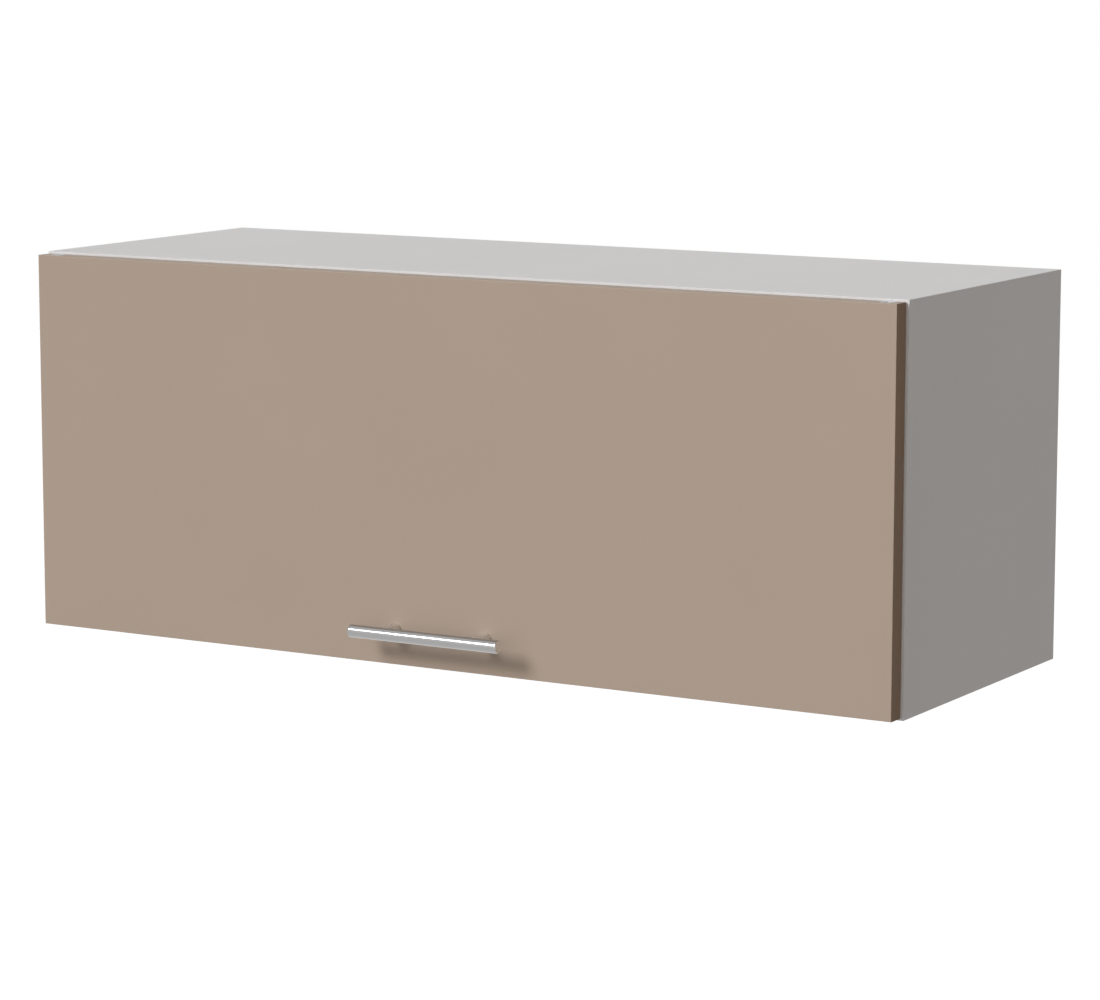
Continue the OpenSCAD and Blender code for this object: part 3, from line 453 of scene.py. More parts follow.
def finish_piece(node, bm, *finishes, paint=None, mesh=None):
    """Makes a bmesh the piece that stands for a node: paint gives a face the number of its finish.

    Its smooth shading keeps flat faces flat and sharp edges sharp.
    """
    if paint:
        for face in bm.faces:
            face.material_index = paint(face.calc_center_median(), face.normal)
    bm.normal_update()
    for edge in bm.edges:
        edge.smooth = len(edge.link_faces) == 2 and edge.calc_face_angle(0.0) < SHARP
    for face in bm.faces:
        face.smooth = True
    mesh = mesh or bpy.data.meshes.new(node)
    bm.to_mesh(mesh)
    bm.free()
    holder = put("holder", mesh)
    weighted = holder.modifiers.new("flat faces", "WEIGHTED_NORMAL")
    weighted.keep_sharp = True
    made = put(node + "_piece", evaluated(holder))
    for finish in finishes:
        made.data.materials.append(finish)
    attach(made, body_of[node])
    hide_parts(node)


def copy_of(node):
    """A node's mesh as a bmesh of large faces."""
    bm = bmesh.new()
    bm.from_mesh(frame["nodes"][node].data)
    bmesh.ops.remove_doubles(bm, verts=bm.verts, dist=MERGE)
    bmesh.ops.dissolve_limit(bm, angle_limit=FLAT, verts=bm.verts, edges=bm.edges)
    return bm


def extent(points):
    """The lowest corner, the highest corner and the middle of a set of points."""
    low, high = [Vector(map(f, zip(*points))) for f in (min, max)]
    return low, high, (low + high) / 2


def middle_of(edge):
    """The point half way along an edge."""
    return (edge.verts[0].co + edge.verts[1].co) / 2


def face_outwards(bm):
    """Turns the faces of closed shapes outwards."""
    bmesh.ops.recalc_face_normals(bm, faces=bm.faces)


def every_edge(bm):
    """A rule that picks all edges."""
    return lambda edge: True


def outer_edge(bm):
    """A rule that picks the edges where two sides of the mesh's own box meet."""
    corners = extent([v.co for v in bm.verts])[:2]

    def rule(edge):
        middle = middle_of(edge)
        hits = sum(abs(middle[i] - c[i]) < TOUCH for i in range(3) for c in corners)
        return hits >= 2

    return rule


def round_edges(bm, radius, rule, steps, shortest=2.2):
    """Rounds the edges that the rule picks, if they are long enough: shortest counts in radii."""
    picked = [
        e for e in bm.edges
        if len(e.link_faces) == 2
        and e.calc_face_angle(0.0) > SHARP
        and e.calc_length() > shortest * radius
        and rule(e)
    ]
    if picked:
        bmesh.ops.bevel(bm, geom=picked, offset=radius, segments=steps, profile=0.5, affect="EDGES")


def dress(node, finishes, *rounds, paint=None, hollow=False):
    """Copies a node and rounds its edges in rounds, each a radius in mm, a rule and a number of steps.

    A hollow cover has a flat ring where it sits. A face with a hole can't follow rounded corners, so the
    ring is taken out first and filled again last.
    """
    bm = copy_of(node)
    if hollow:
        seat = max(abs(v.co.x) for v in bm.verts)
        ring = [f for f in bm.faces if all(abs(abs(v.co.x) - seat) < TOUCH for v in f.verts)]
        bmesh.ops.delete(bm, geom=ring, context="FACES")
    for radius, rule_for, steps, *shortest in rounds:
        round_edges(bm, radius * MM, rule_for(bm), steps, *shortest)
    if hollow:
        rims = [e for e in bm.edges if e.is_boundary]
        bmesh.ops.triangle_fill(bm, use_beauty=True, edges=rims)
        face_outwards(bm)
    finish_piece(node, bm, *finishes, paint=paint)


# %% [markdown]
# ## Carcass boards
# A board could be a plain block with one white material, but the rear edges, the grooves and the bores
# of real ones show the raw chips. So every face is asked where it lies: on the outer skin it is white,
# and at the rear edge or inside a cut it is raw.

# %% Boards
BOARD_ROUND = (0.25, outer_edge, 2)
SKIN = 0.6 * MM
FACING = 0.9


def size_of(node):
    """The size of a node in mm."""
    low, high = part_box(node)
    return [round(s / MM, 1) for s in high - low]


def board_paint(node):
    """White on the outer skin and in front, raw at the rear edge and inside a cut."""
    low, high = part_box(node)

    def paint(centre, normal):
        near = min(min(centre[i] - low[i], high[i] - centre[i]) for i in (X, Z))
        rear = normal.y > FACING and centre.y > high.y - SKIN
        front = centre.y < low.y + SKIN
        return 1 if rear or (near > SKIN and not front) else 0

    return paint


for node in ("side_panel_left", "side_panel_right", "top_panel", "bottom_panel"):
    dress(node, [white_board, raw_core], BOARD_ROUND, paint=board_paint(node))
    print(node, "mm:", size_of(node))


def front_rim(bm):
    """A rule that picks the edges of the bands at the very front."""
    front = min(v.co.y for v in bm.verts)
    return lambda edge: all(v.co.y < front + TOUCH for v in edge.verts)


dress("carcass_edge_bands", [white_edge], (0.3, front_rim, 2))

# %% [markdown]
# ## Back panel
# Thin hardboard slides in a groove round the carcass. Its inner face is lacquered white, and its rear
# and its cut edges are left brown.

# %% Back panel
dress("back_panel", [white_hardboard, hardboard_rear], (0.1, outer_edge, 1),
      paint=lambda centre, normal: 0 if normal.y < -FACING else 1)
dress("back_panel_clips", [white_plastic], (0.5, every_edge, 2))
print("back panel, mm:", size_of("back_panel"))

# %% [markdown]
# ## Door
# The flap is one plain slab. Its two large faces carry the foil, the pocket for each hinge block and the
# screw bores are cut through it into the core, and thin strips close its edges. The foil is wrapped over
# the top and bottom strips, and the two ends are painted darker: partly the band's own tone, partly
# painted shade.

# %% Door
PARALLEL = 0.99
door_low, door_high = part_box("door_panel")


def door_paint(centre, normal):
    """Foil on the two large faces, raw in the bores and pockets."""
    at_face = centre.y < door_low.y + SKIN or centre.y > door_high.y - SKIN
    return 0 if abs(normal.y) > FACING and at_face else 1


def runs_along(edge, axis):
    """True if the edge is parallel to that axis."""
    step = edge.verts[1].co - edge.verts[0].co
    return abs(step[axis]) > PARALLEL * step.length


def door_rim(bm):
    """A rule that picks the long outer edges of the bands, at the front and at the back."""
    outer = outer_edge(bm)
    return lambda edge: outer(edge) and not runs_along(edge, Y)


dress("door_panel", [door_foil, raw_core], paint=door_paint)
# the two ends get the darker colour, which is partly band tone and partly painted shade; top and bottom get
# the foil
dress("door_edge_bands", [door_edge_and_shade, door_foil], (0.5, door_rim, 3),
      paint=lambda centre, normal: 0 if abs(normal.x) > FACING else 1)
print("door, mm:", size_of("door_panel"))

# %% [markdown]
# ## Plates, blocks and covers
# Sheet metal is cut with rounded corners, its bends have a radius, and its rims lose their sharpness in
# the plating bath. A die cast block has softer edges still, and a moulded cover the softest. Each could
# be modelled again from nothing, but the frame already has every bore in place, so a few rounds of edge
# rounding are enough, each with a rule of its own.

# %% Rules that pick edges
ARC_REACH = 0.3  # the arc of a rounded corner lies within this share of its radius from the outline


def corner_along(axis):
    """A rule for the outer corners of a node that run along an axis, the ones seen as its outline."""
    def rule_for(bm):
        outer = outer_edge(bm)
        return lambda edge: runs_along(edge, axis) and outer(edge)

    return rule_for


def inner_rim(corner):
    """A rule for the rim of a cover on the side of the cabinet's middle, round its corners too."""
    def rule_for(bm):
        low, high, _ = extent([v.co for v in bm.verts])
        inner_x = min(abs(v.co.x) for v in bm.verts)

        def rule(edge):
            at = middle_of(edge)
            to_outline = min(at.y - low.y, high.y - at.y, at.z - low.z, high.z - at.z)
            return to_outline < ARC_REACH * corner * MM and abs(abs(at.x) - inner_x) < TOUCH

        return rule

    return rule_for


def not_rear(rule_for):
    """Narrows a rule to the edges that lie in front of the rearmost plane."""
    def narrowed(bm):
        rule, rear = rule_for(bm), max(v.co.y for v in bm.verts)
        return lambda edge: rule(edge) and middle_of(edge).y < rear - TOUCH

    return narrowed


# %% Sheet metal, castings and mouldings
SIDES = ("_left", "_right")
FINE = (0.25, every_edge, 2)
HANGER_CORNER, STAY_CORNER = 1.6, 4.5
for side in SIDES:
    dress("pivot_plate" + side, [zinc_plate], FINE)
    dress("stay_base" + side, [zinc_plate], (3.0, corner_along(X), 5), FINE)
    dress("door_bracket" + side, [zinc_plate], (2.5, corner_along(Y), 5), FINE)
    dress("wall_plate" + side, [zinc_plate], (2.0, corner_along(Y), 4), (1.2, corner_along(X), 4), FINE)
    dress("hanger_hook" + side, [zinc_plate], (1.5, corner_along(X), 4), (0.4, every_edge, 2))
    dress("hinge_block" + side, [zinc_cast], (0.4, every_edge, 3))
    dress("hanger_casing" + side, [white_plastic], (0.4, every_edge, 2))
    dress("hanger_cover" + side, [white_plastic], (HANGER_CORNER, not_rear(corner_along(X)), 4),
          (1.0, not_rear(inner_rim(HANGER_CORNER)), 3, 0.0))
    dress("stay_cover" + side, [white_plastic], (STAY_CORNER, corner_along(X), 6),
          (1.4, inner_rim(STAY_CORNER), 4, 0.0), hollow=True)
dress("cam_housings", [zinc_cast], (0.3, every_edge, 2))
dress("cam_bolts", [screw_steel])
dress("friction_discs", [friction_pad])
dress("brake_nuts", [dark_nylon], (0.8, every_edge, 3))

# %% [markdown]
# ## Levers and links
# Each stay has a lever and a link, stamped from thick strip with a round eye at each end. The outline
# follows a rule: two arcs joined by two straight lines. So it is worked out from the two pivots, filled,
# given its thickness and rounded along its rims.

# %% Outlines and plates
ARC_STEPS = 36


def solids(node):
    """The points of each separate solid of a node, sorted from left to right and from low to high."""
    bm = copy_of(node)
    found, seen = [], set()
    for start in bm.verts:
        if start in seen:
            continue
        island, open_ends = [], [start]
        seen.add(start)
        while open_ends:
            vert = open_ends.pop()
            island.append(vert.co.copy())
            for edge in vert.link_edges:
                other = edge.other_vert(vert)
                if other not in seen:
                    seen.add(other)
                    open_ends.append(other)
        found.append(island)
    bm.free()
    return sorted(found, key=lambda points: tuple(round(c, 4) for c in extent(points)[0]))


def circle(radius, steps=ARC_STEPS, centre=(0.0, 0.0)):
    """Points round a circle."""
    turns = [math.tau * i / steps for i in range(steps)]
    return [(centre[0] + radius * math.cos(a), centre[1] + radius * math.sin(a)) for a in turns]


def arm_outline(start, end, eye, half_width):
    """Two eyes joined by a bar, as points in the order of their rim."""
    heading = math.atan2(end[1] - start[1], end[0] - start[0])
    mouth = math.asin(half_width / eye)
    points = []
    for centre, back in ((start, heading), (end, heading + math.pi)):
        for i in range(ARC_STEPS + 1):
            a = back + mouth + (math.tau - 2.0 * mouth) * i / ARC_STEPS
            points.append((centre[0] + eye * math.cos(a), centre[1] + eye * math.sin(a)))
    return points


def add_plate(bm, outlines, x0, x1):
    """Fills outlines of the YZ plane, the first one the rim and the others holes, and gives them depth."""
    edges = []
    for outline in outlines:
        ring = [bm.verts.new((x0, y, z)) for y, z in outline]
        edges += [bm.edges.new(pair) for pair in zip(ring, ring[1:] + ring[:1])]
    bmesh.ops.triangle_fill(bm, use_beauty=True, edges=edges)
    bmesh.ops.dissolve_limit(bm, angle_limit=FLAT, verts=bm.verts, edges=bm.edges)
    pushed = bmesh.ops.extrude_face_region(bm, geom=bm.faces[:])["geom"]
    far_side = [g for g in pushed if isinstance(g, bmesh.types.BMVert)]
    bmesh.ops.translate(bm, verts=far_side, vec=(x1 - x0, 0.0, 0.0))
    face_outwards(bm)


# %% Levers and links
LEVER_WIDTH = 13.0 * MM
STAMPED_RIM = 0.35 * MM
PIN_FIT = 0.05 * MM
SHANK_LEAST = 0.5 * MM
BRAKE_RADIUS = 4.0 * MM

stay_pivot = {side: extent(points)[2] for side, points in zip(SIDES, solids("brake_nuts"))}


def pin_axis(points):
    """The middle of a pin and its shank radius; the head is the wider part."""
    middle = extent(points)[2]
    reach = [math.hypot(p.y - middle.y, p.z - middle.z) for p in points]
    return middle, min(r for r in reach if r > SHANK_LEAST)


def stamped(node, start, end, holes):
    """A strip with two eyes between two pivots; holes are the radii at its two ends."""
    low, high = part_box(node)
    ends = [(start.y, start.z), (end.y, end.z)]
    eye = min(end.y - low.y, high.y - end.y, end.z - low.z, high.z - end.z)
    rims = [arm_outline(*ends, eye, LEVER_WIDTH / 2)]
    rims += [circle(radius, centre=centre) for centre, radius in zip(ends, holes)]
    bm = bmesh.new()
    add_plate(bm, rims, low.x, high.x)
    round_edges(bm, STAMPED_RIM, every_edge(bm), 3)
    finish_piece(node, bm, zinc_plate)


for side, bracket_pin in zip(SIDES, solids("bracket_pins")):
    joint, pin_radius = pin_axis(solids("lever_pin" + side)[0])
    bracket, _ = pin_axis(bracket_pin)
    stamped("stay_lever" + side, stay_pivot[side], joint, (BRAKE_RADIUS + PIN_FIT, pin_radius))
    stamped("stay_link" + side, joint, bracket, (pin_radius + PIN_FIT,) * 2)
print("lever, mm:", round((joint - stay_pivot["_right"]).yz.length / MM, 1),
      "link, mm:", round((bracket - joint).yz.length / MM, 1))

# %% [markdown]
# ## Turned pieces
# Pins, bolts and the parts of the handle are round, so each comes from a profile that is spun about its
# axis, as on a lathe. A profile is a list of heights and radii; a chamfer or a dome is only a few more
# points in it. Blender's Spin or a Screw modifier would do the same, but a plain loop keeps the poles
# closed and the faces in order.

# %% Lathe
ROUND_SIDES, BAR_SIDES, POST_SIDES, CAP_SIDES = 48, 96, 64, 40


def spin(bm, profile, start, towards, sides, closed=False):
    """Spins a profile of (height, radius) about a line from start."""
    place = Matrix.Translation(start) @ Vector(towards).to_track_quat("Z", "Y").to_matrix().to_4x4()
    rings = []
    for height, radius in profile:
        ring = circle(radius, sides)[:sides if radius > MERGE else 1]
        rings.append([bm.verts.new(place @ Vector((x, y, height))) for x, y in ring])
    if closed:
        rings.append(rings[0])
    for low, high in zip(rings, rings[1:]):
        for i in range(sides):
            j = i + 1
            corners = [ring[k % len(ring)] for ring, k in ((low, i), (low, j), (high, j), (high, i))]
            bm.faces.new(dict.fromkeys(corners))


def turned(node, finishes, profiles, sides=ROUND_SIDES, paint=None, closed=False):
    """A piece made of spun profiles, each with its start and its direction."""
    bm = bmesh.new()
    for profile, start, towards in profiles:
        spin(bm, profile, start, towards, sides, closed)
    face_outwards(bm)
    finish_piece(node, bm, *finishes, paint=paint)


def dome(height, radius, steps=8, power=0.6):
    """A low dome on a flat base: the rim rises quickly and the top is nearly flat."""
    turns = [0.5 * math.pi * i / steps for i in range(steps + 1)]
    return [(0.0, 0.0)] + [(height * math.sin(a) ** power, radius * math.cos(a)) for a in turns]


# %% Pins and bolts
PIN_HEAD = 5.0 * MM
HEAD_THICK = 1.6 * MM
PIN_CHAMFER, ROD_CHAMFER, BOLT_CHAMFER = 0.2 * MM, 0.3 * MM, 0.5 * MM
SOCKET_RADIUS, SOCKET_DEPTH = 2.0 * MM, 1.4 * MM


def crosswise(points):
    """Reads a pin that lies across the cabinet: its outer end, its length, the way in and its radius."""
    low, high, middle = extent(points)
    outer, inner = max(abs(low.x), abs(high.x)), min(abs(low.x), abs(high.x))
    start = Vector((math.copysign(outer, middle.x), middle.y, middle.z))
    return start, outer - inner, (-math.copysign(1.0, middle.x), 0.0, 0.0), (high.z - low.z) / 2


def headed_pin(points):
    """A pin with a domed head on the side of the cabinet's middle."""
    start, whole, inwards, _ = crosswise(points)
    radius, length = pin_axis(points)[1], whole - HEAD_THICK
    profile = [(0.0, 0.0), (0.0, radius - PIN_CHAMFER), (PIN_CHAMFER, radius), (length, radius)]
    profile += [(length + h, r) for h, r in dome(HEAD_THICK, PIN_HEAD)[1:]]
    return profile, start, inwards


def hinge_pin(points):
    """A plain rod with a chamfer at both ends."""
    start, length, inwards, radius = crosswise(points)
    half = [(0.0, 0.0), (0.0, radius - ROD_CHAMFER), (ROD_CHAMFER, radius)]
    return half + [(length - h, r) for h, r in reversed(half)], start, inwards


def brake_bolt(points):
    """A bolt from its flat head in the side panel to its rounded end over the nut."""
    start, length, inwards, head_radius = crosswise(points)
    profile = [(0.0, 0.0), (0.0, head_radius), (HEAD_THICK, head_radius), (HEAD_THICK, BRAKE_RADIUS)]
    profile += [(length - BOLT_CHAMFER, BRAKE_RADIUS), (length, BRAKE_RADIUS - BOLT_CHAMFER)]
    profile += [(length, SOCKET_RADIUS), (length - SOCKET_DEPTH, SOCKET_RADIUS)]
    return profile + [(length - SOCKET_DEPTH, 0.0)], start, inwards


for node, shape in (("lever_pin_left", headed_pin), ("lever_pin_right", headed_pin),
                    ("bracket_pins", headed_pin), ("hinge_pins", hinge_pin), ("brake_bolts", brake_bolt)):
    turned(node, [screw_steel], [shape(points) for points in solids(node)])
print("lever pin, mm:", round(2 * pin_radius / MM, 1))

# %% [markdown]
# ## Handle
# A steel tube with a cap at each end stands on two round posts. The tube and the caps are lathe work.
# Each post ends in a saddle that fits the tube, so the top ring of the post is moved onto the tube: at
# each point its height is where the tube's circle is.

# %% Handle
BAR_WALL = 1.0 * MM
CAP_PLUG = 8.0 * MM
SEAM = 0.12 * MM
CAP_STEPS = 6
tube_low, tube_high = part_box("handle_tube")
caps_low, caps_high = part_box("handle_end_caps")
bar_radius = (tube_high.z - tube_low.z) / 2
bar_axis = (tube_low + tube_high) / 2
bore_radius = bar_radius - BAR_WALL
tube_length = tube_high.x - tube_low.x
cap_rim = tube_low.x - caps_low.x

tube_profile = [
    (0.0, bar_radius - SEAM), (SEAM, bar_radius), (tube_length - SEAM, bar_radius),
    (tube_length, bar_radius - SEAM), (tube_length, bore_radius), (0.0, bore_radius),
]
tube_start = Vector((tube_low.x, bar_axis.y, bar_axis.z))
turned("handle_tube", [handle_steel], [(tube_profile, tube_start, (1.0, 0.0, 0.0))], BAR_SIDES, closed=True)


def end_cap(side):
    """A cap: its plug in the tube, its rim with a seam line, and a turned edge."""
    seat = tube_high.x if side > 0 else tube_low.x
    start = Vector((seat - side * CAP_PLUG, bar_axis.y, bar_axis.z))
    plug, edge, end = bore_radius - PIN_FIT, 0.5 * cap_rim, CAP_PLUG + cap_rim
    profile = [(0.0, 0.0), (0.0, plug), (CAP_PLUG, plug), (CAP_PLUG, bar_radius - SEAM)]
    profile += [(CAP_PLUG + SEAM, bar_radius), (end - edge, bar_radius)]
    turns = [math.pi / 2 * i / CAP_STEPS for i in range(1, CAP_STEPS + 1)]
    profile += [(end - edge * (1 - math.sin(a)), bar_radius - edge * (1 - math.cos(a))) for a in turns]
    return profile + [(end, 0.0)], start, (float(side), 0.0, 0.0)


turned("handle_end_caps", [handle_steel, bright_steel], [end_cap(-1), end_cap(1)], BAR_SIDES,
       paint=lambda centre, normal: 1 if abs(normal.x) > FACING else 0)

# %% Handle posts
POST_FOOT = 0.25 * MM
SADDLE_RINGS = (1.0, 0.75, 0.5, 0.25)


def add_post(bm, points):
    """A post with a small chamfer at the door and a saddle at the tube."""
    low, high, centre = extent(points)
    radius = (high.x - low.x) / 2
    saddle = bar_radius + PIN_FIT

    def ring(share, height):
        flat = circle(radius * share, POST_SIDES)
        return [bm.verts.new((centre.x + x, height(z), centre.z + z)) for x, z in flat]

    rings = [ring(1.0 - POST_FOOT / radius, lambda z: high.y), ring(1.0, lambda z: high.y - POST_FOOT)]
    rings += [ring(s, lambda z: bar_axis.y + math.sqrt(saddle ** 2 - z ** 2)) for s in SADDLE_RINGS]
    for a, b in zip(rings, rings[1:]):
        for i in range(POST_SIDES):
            j = (i + 1) % POST_SIDES
            bm.faces.new((a[i], a[j], b[j], b[i]))
    bm.faces.new(rings[0])
    bm.faces.new(rings[-1])


bm = bmesh.new()
for points in solids("handle_posts"):
    add_post(bm, points)
face_outwards(bm)
finish_piece("handle_posts", bm, post_steel)
print("handle, mm: diameter", round(2 * bar_radius / MM, 1), "length",
      round((caps_high.x - caps_low.x) / MM, 1))

# %% [markdown]
# ## Repeated pieces with Geometry Nodes
# Screws, dowels, cover caps and buffers repeat. One node tree makes a screw from its sizes: a dome with
# a cross recess, a core with a point, and a thread that follows a spiral. Another makes a fluted dowel,
# and a third sets any given part. All end alike: the shape is set on points, turned to the direction
# that each point carries, made real and given its material. The points come from the frame's solids.

# %% Node trees for points
def geometry_tree(name, *inputs):
    """Starts a tree with named inputs, each a label, a kind and a first value."""
    tree = bpy.data.node_groups.new(name, "GeometryNodeTree")
    for way in ("OUTPUT", "INPUT"):
        tree.interface.new_socket("Geometry", in_out=way, socket_type="NodeSocketGeometry")
    for label, kind, value in inputs:
        socket = tree.interface.new_socket(label, in_out="INPUT", socket_type="NodeSocket" + kind)
        if value is not None:
            socket.default_value = value
    return tree, tree.nodes.new("NodeGroupInput").outputs


def join(tree, *parts):
    """All parts as one geometry."""
    made = tree.nodes.new("GeometryNodeJoinGeometry")
    for part in parts:
        tree.links.new(part.outputs[0], made.inputs[0])
    return made


def moved(tree, part, place=(0.0, 0.0, 0.0), turn=(0.0, 0.0, 0.0)):
    """A part that is turned and then put in its place."""
    inputs = {"Geometry": part, "Translation": place, "Rotation": turn}
    return add(tree, "GeometryNodeTransform", inputs)


def vector(tree, x, y, z):
    """Three numbers or sockets as one vector."""
    return add(tree, "ShaderNodeCombineXYZ", {0: x, 1: y, 2: z}).outputs[0]


def place_parts(tree):
    """The x, y and z of each point that a tree is working on."""
    return add(tree, "ShaderNodeSeparateXYZ", {0: add(tree, "GeometryNodeInputPosition")}).outputs


def on_points(tree, given, shape):
    """Sets a shape on every point, along its axis and with a turn by chance, and ends the tree."""
    axis = add(tree, "GeometryNodeInputNamedAttribute", {"Name": "axis"}, data_type="FLOAT_VECTOR")
    aim = add(tree, "FunctionNodeAlignRotationToVector", {"Vector": axis}, axis="Z")
    # the Random Value node has its least and most in sockets 2 and 3, and its seed in socket 8
    chance = add(tree, "FunctionNodeRandomValue", {2: 0.0, 3: given["Turn"], 8: given["Seed"]},
                 data_type="FLOAT")
    twist = add(tree, "FunctionNodeAxisAngleToRotation",
                {"Axis": (0.0, 0.0, 1.0), "Angle": chance.outputs[1]})
    both = add(tree, "FunctionNodeRotateRotation", {0: aim, 1: twist}, rotation_space="LOCAL")
    copies = add(tree, "GeometryNodeInstanceOnPoints",
                 {"Points": given["Geometry"], "Instance": shape, "Rotation": both})
    real = add(tree, "GeometryNodeRealizeInstances", {0: copies})
    painted = add(tree, "GeometryNodeSetMaterial", {"Geometry": real, "Material": given["Material"]})
    add(tree, "NodeGroupOutput", {0: painted})


COMMON = ("Turn", "Float", 0.0), ("Seed", "Int", 0), ("Material", "Material", None)
QUARTER_TURN = math.pi / 2


# %% The screw tree
CROWN = 0.55
RECESS_LONG, RECESS_WIDE, RECESS_LIFT = 1.1, 0.24, 0.95
CORE, TIP, SPIRAL, RIDGE = 0.8, 0.15, 0.82, 0.16


def screw_tree():
    """A screw: its recess is sized by its head, and its core, point and thread by its shank."""
    tree, given = geometry_tree(
        "screws", ("Shank Radius", "Float", 0.002), ("Length", "Float", 0.015),
        ("Head Radius", "Float", 0.004), ("Head Height", "Float", 0.002),
        ("Pitch", "Float", 0.0016), *COMMON)
    shank, length = given["Shank Radius"], given["Length"]
    wide, high = given["Head Radius"], given["Head Height"]
    # the head: a round ball whose lower half is pressed flat
    ball = add(tree, "GeometryNodeMeshUVSphere", {"Segments": 32, "Rings": 20, "Radius": 1.0})
    at = place_parts(tree)
    lift = calc(tree, "POWER", calc(tree, "MAXIMUM", at[2], 0.0), CROWN)
    pressed = vector(tree, times(tree, at[0], wide), times(tree, at[1], wide), times(tree, lift, high))
    head = add(tree, "GeometryNodeSetPosition", {"Geometry": ball, "Position": pressed})
    # the recess: two crossed bars cut out of it
    size = vector(tree, times(tree, wide, RECESS_LONG), times(tree, wide, RECESS_WIDE), high)
    bar = moved(tree, add(tree, "GeometryNodeMeshCube", {"Size": size}),
                vector(tree, 0.0, 0.0, times(tree, high, RECESS_LIFT)))
    for cutter in (bar, moved(tree, bar, turn=(0.0, 0.0, QUARTER_TURN))):
        head = add(tree, "GeometryNodeMeshBoolean", {0: head, 1: cutter},
                   operation="DIFFERENCE", solver="EXACT")
    # the core with its point
    core_radius = times(tree, shank, CORE)
    straight = calc(tree, "SUBTRACT", length, shank)
    half_way = vector(tree, 0.0, 0.0, times(tree, straight, -0.5))
    far_end = vector(tree, 0.0, 0.0, times(tree, straight, -1.0))
    core = add(tree, "GeometryNodeMeshCylinder", {"Vertices": 20, "Radius": core_radius, "Depth": straight})
    tip = add(tree, "GeometryNodeMeshCone",
              {"Vertices": 20, "Radius Top": times(tree, shank, TIP), "Radius Bottom": core_radius,
               "Depth": shank})
    # the thread: a small triangle that follows a spiral
    spiral_radius = times(tree, shank, SPIRAL)
    spiral = add(tree, "GeometryNodeCurveSpiral",
                 {"Resolution": 16, "Rotations": calc(tree, "DIVIDE", straight, given["Pitch"]),
                  "Start Radius": spiral_radius, "End Radius": spiral_radius, "Height": straight})
    ridge = add(tree, "GeometryNodeCurvePrimitiveCircle",
                {"Resolution": 3, "Radius": times(tree, shank, RIDGE)})
    thread = add(tree, "GeometryNodeCurveToMesh",
                 {"Curve": spiral, "Profile Curve": ridge, "Fill Caps": True})
    on_points(tree, given, join(tree, head, moved(tree, core, half_way),
                                moved(tree, tip, far_end, (math.pi, 0.0, 0.0)),
                                moved(tree, thread, far_end)))
    return tree


# %% The dowel tree and the tree that sets a given part
FLUTE_DEPTH, END_DEPTH, END_PLACE = 0.08, 0.15, 0.49


def dowel_tree():
    """A dowel: every second line of its surface lies deeper, and its ends are drawn in."""
    tree, given = geometry_tree("dowels", ("Radius", "Float", 0.004), ("Length", "Float", 0.03),
                                ("Flutes", "Int", 18), *COMMON)
    body = add(tree, "GeometryNodeMeshCylinder",
               {"Vertices": times(tree, given["Flutes"], 2.0), "Side Segments": 12,
                "Radius": given["Radius"], "Depth": given["Length"]})
    at = place_parts(tree)
    odd = calc(tree, "MODULO", add(tree, "GeometryNodeInputIndex").outputs[0], 2.0)
    end = calc(tree, "GREATER_THAN", calc(tree, "ABSOLUTE", at[2]), times(tree, given["Length"], END_PLACE))
    fluted = calc(tree, "SUBTRACT", 1.0, times(tree, odd, FLUTE_DEPTH))
    keep = calc(tree, "SUBTRACT", fluted, times(tree, end, END_DEPTH))
    shaped = vector(tree, times(tree, at[0], keep), times(tree, at[1], keep), at[2])
    on_points(tree, given, add(tree, "GeometryNodeSetPosition", {"Geometry": body, "Position": shaped}))
    return tree


def part_tree():
    """A tree that sets any given part, such as a cap that was spun."""
    tree, given = geometry_tree("given_part", ("Part", "Object", None), *COMMON)
    part = add(tree, "GeometryNodeObjectInfo", {"Object": given["Part"]})
    on_points(tree, given, part.outputs["Geometry"])
    return tree


SCREWS, DOWELS, PARTS = screw_tree(), dowel_tree(), part_tree()
print("trees:", {t.name: len(t.nodes) for t in (SCREWS, DOWELS, PARTS)})


# %% Run a tree
def run(node, tree, points, values):
    """Runs a tree on points, each a place and a direction, and makes its plain mesh a node's piece."""
    mesh = bpy.data.meshes.new("points")
    mesh.from_pydata([tuple(place) for place, _ in points], [], [])
    axis = mesh.attributes.new("axis", "FLOAT_VECTOR", "POINT")
    axis.data.foreach_set("vector", [c for _, direction in points for c in direction])
    holder = put("holder", mesh)
    nodes = holder.modifiers.new("nodes", "NODES")
    nodes.node_group = tree
    sockets = {s.name: s.identifier for s in tree.interface.items_tree
               if s.item_type == "SOCKET" and s.in_out == "INPUT"}
    for label, value in values.items():
        nodes[sockets[label]] = value
    made = evaluated(holder)
    bm = bmesh.new()
    bm.from_mesh(made)
    finish_piece(node, bm, mesh=made)


# %% Screws
SET_SCREW_HEAD = 1.5 * MM
BELOW_HEAD = 0.5 * MM
HEAD_RIM = 0.97
BOARD_PITCH, SMALL_PITCH, METRIC_PITCH = 1.8 * MM, 1.3 * MM, 0.7 * MM


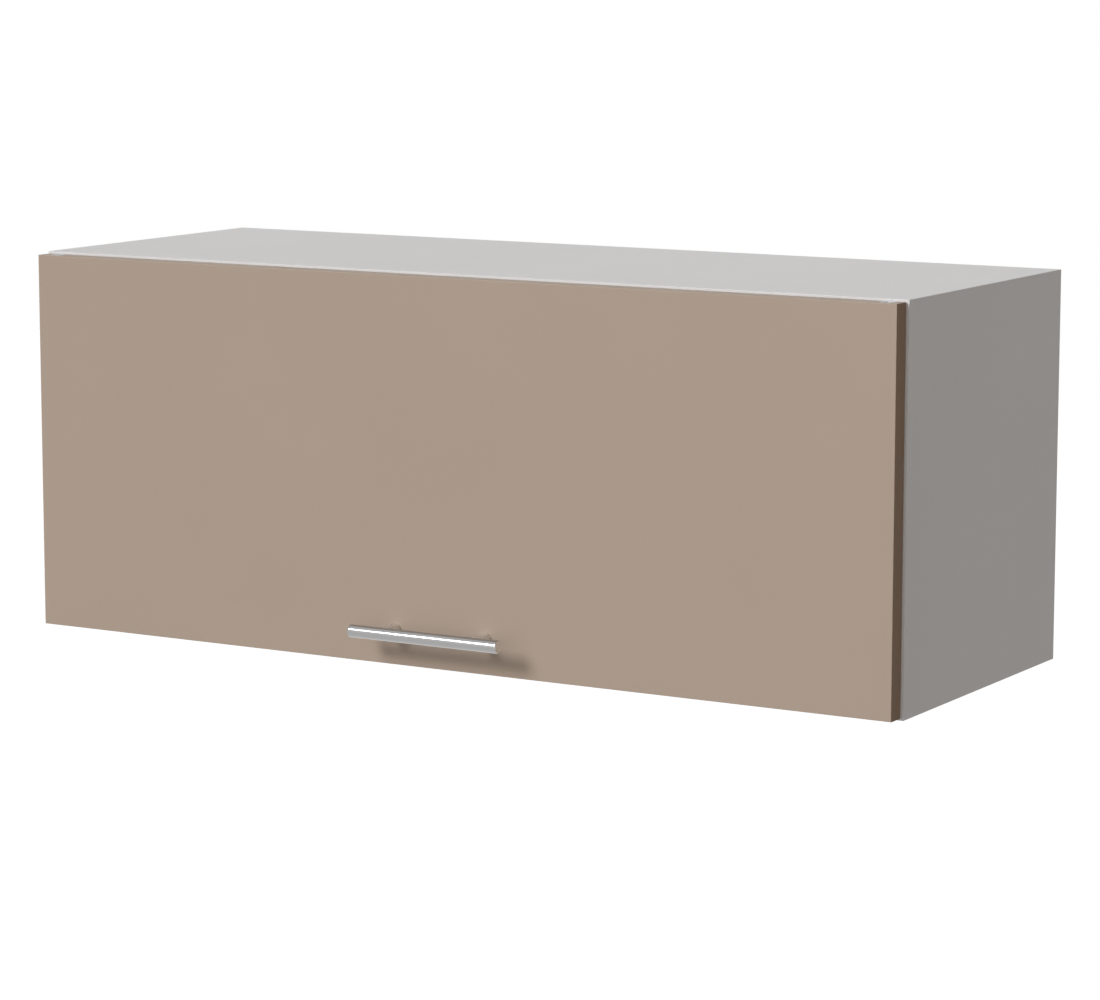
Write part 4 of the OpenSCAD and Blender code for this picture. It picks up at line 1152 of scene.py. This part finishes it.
def screw_of(points, facing=None):
    """Reads a screw of the frame: the seat under its head, the way its head looks, and its sizes.

    A set screw has no wider head in the frame, so facing says which way its slot looks.
    """
    low, high, middle = extent(points)
    axis = max(range(3), key=lambda i: high[i] - low[i])
    across = [i for i in range(3) if i != axis]
    reach = [(p[axis], math.hypot(*[p[i] - middle[i] for i in across])) for p in points]
    wide = max(r for _, r in reach)
    if facing:
        way, shank = facing, wide
        top = high[axis] if way > 0 else low[axis]
        seat = top - way * SET_SCREW_HEAD
    else:
        head = [along for along, r in reach if r > HEAD_RIM * wide]
        way = 1.0 if sum(head) / len(head) > middle[axis] else -1.0
        seat, top = (min(head), max(head)) if way > 0 else (max(head), min(head))
        shank = max(r for along, r in reach if (seat - along) * way > BELOW_HEAD)
    place, direction = middle.copy(), Vector()
    place[axis], direction[axis] = seat, way
    tail = low[axis] if way > 0 else high[axis]
    return place, direction, {"Shank Radius": shank, "Length": abs(seat - tail), "Head Radius": wide,
                              "Head Height": abs(top - seat)}


def set_screws(node, pitch, seed, facing=None):
    """Replaces a node of screws by detailed ones in the same places."""
    read = [screw_of(points, facing) for points in solids(node)]
    sizes = read[0][2]
    values = dict(sizes, Pitch=pitch, Turn=QUARTER_TURN, Seed=seed, Material=screw_steel)
    run(node, SCREWS, [(place, direction) for place, direction, _ in read], values)
    print(node, len(read), {k: round(v / MM, 2) for k, v in sizes.items()})


for seed, (node, pitch) in enumerate((
        ("hanger_screws", BOARD_PITCH), ("pivot_plate_screws", BOARD_PITCH), ("stay_screws", BOARD_PITCH),
        ("hinge_block_screws", SMALL_PITCH), ("bracket_screws", SMALL_PITCH),
        ("back_clip_screws", SMALL_PITCH), ("handle_screws", METRIC_PITCH))):
    set_screws(node, pitch, seed)
set_screws("hanger_adjusters", METRIC_PITCH, seed=11, facing=-1.0)


# %% Dowels, cover caps and buffers
def places_of(node, axis, way):
    """The end of each solid that lies against its way, with that way, and the size of one solid."""
    boxes = [extent(points) for points in solids(node)]
    found = []
    for low, high, place in boxes:
        direction = Vector()
        direction[axis] = way(place)
        place[axis] = low[axis] if direction[axis] > 0 else high[axis]
        found.append((place, direction))
    return found, boxes[0][1] - boxes[0][0]


def set_parts(node, found, profile, finish):
    """Spins a part once and sets it in each place."""
    bm = bmesh.new()
    spin(bm, profile, Vector(), (0.0, 0.0, 1.0), CAP_SIDES)
    face_outwards(bm)
    mesh = bpy.data.meshes.new(node)
    bm.to_mesh(mesh)
    bm.free()
    part = put(node + "_part", mesh)
    run(node, PARTS, found, {"Part": part, "Material": finish})
    bpy.data.objects.remove(part)
    print(node, len(found))


dowels, dowel_size = places_of("wood_dowels", X, lambda place: 1.0)
centred = [(place + direction * dowel_size.x / 2, direction) for place, direction in dowels]
run("wood_dowels", DOWELS, centred, {
    "Radius": dowel_size.z / 2, "Length": dowel_size.x, "Flutes": 18, "Turn": QUARTER_TURN, "Seed": 3,
    "Material": beech_wood})
print("wood_dowels", len(dowels))

cabinet_middle = (cad_box[0].z + cad_box[1].z) / 2
caps, cap_size = places_of("cam_caps", Z, lambda place: 1.0 if place.z < cabinet_middle else -1.0)
set_parts("cam_caps", caps, dome(cap_size.z, cap_size.x / 2, steps=10, power=0.5), white_plastic)
buffers, buffer_size = places_of("door_buffers", Y, lambda place: -1.0)
set_parts("door_buffers", buffers, dome(buffer_size.y, buffer_size.x / 2, steps=10, power=0.7), soft_buffer)
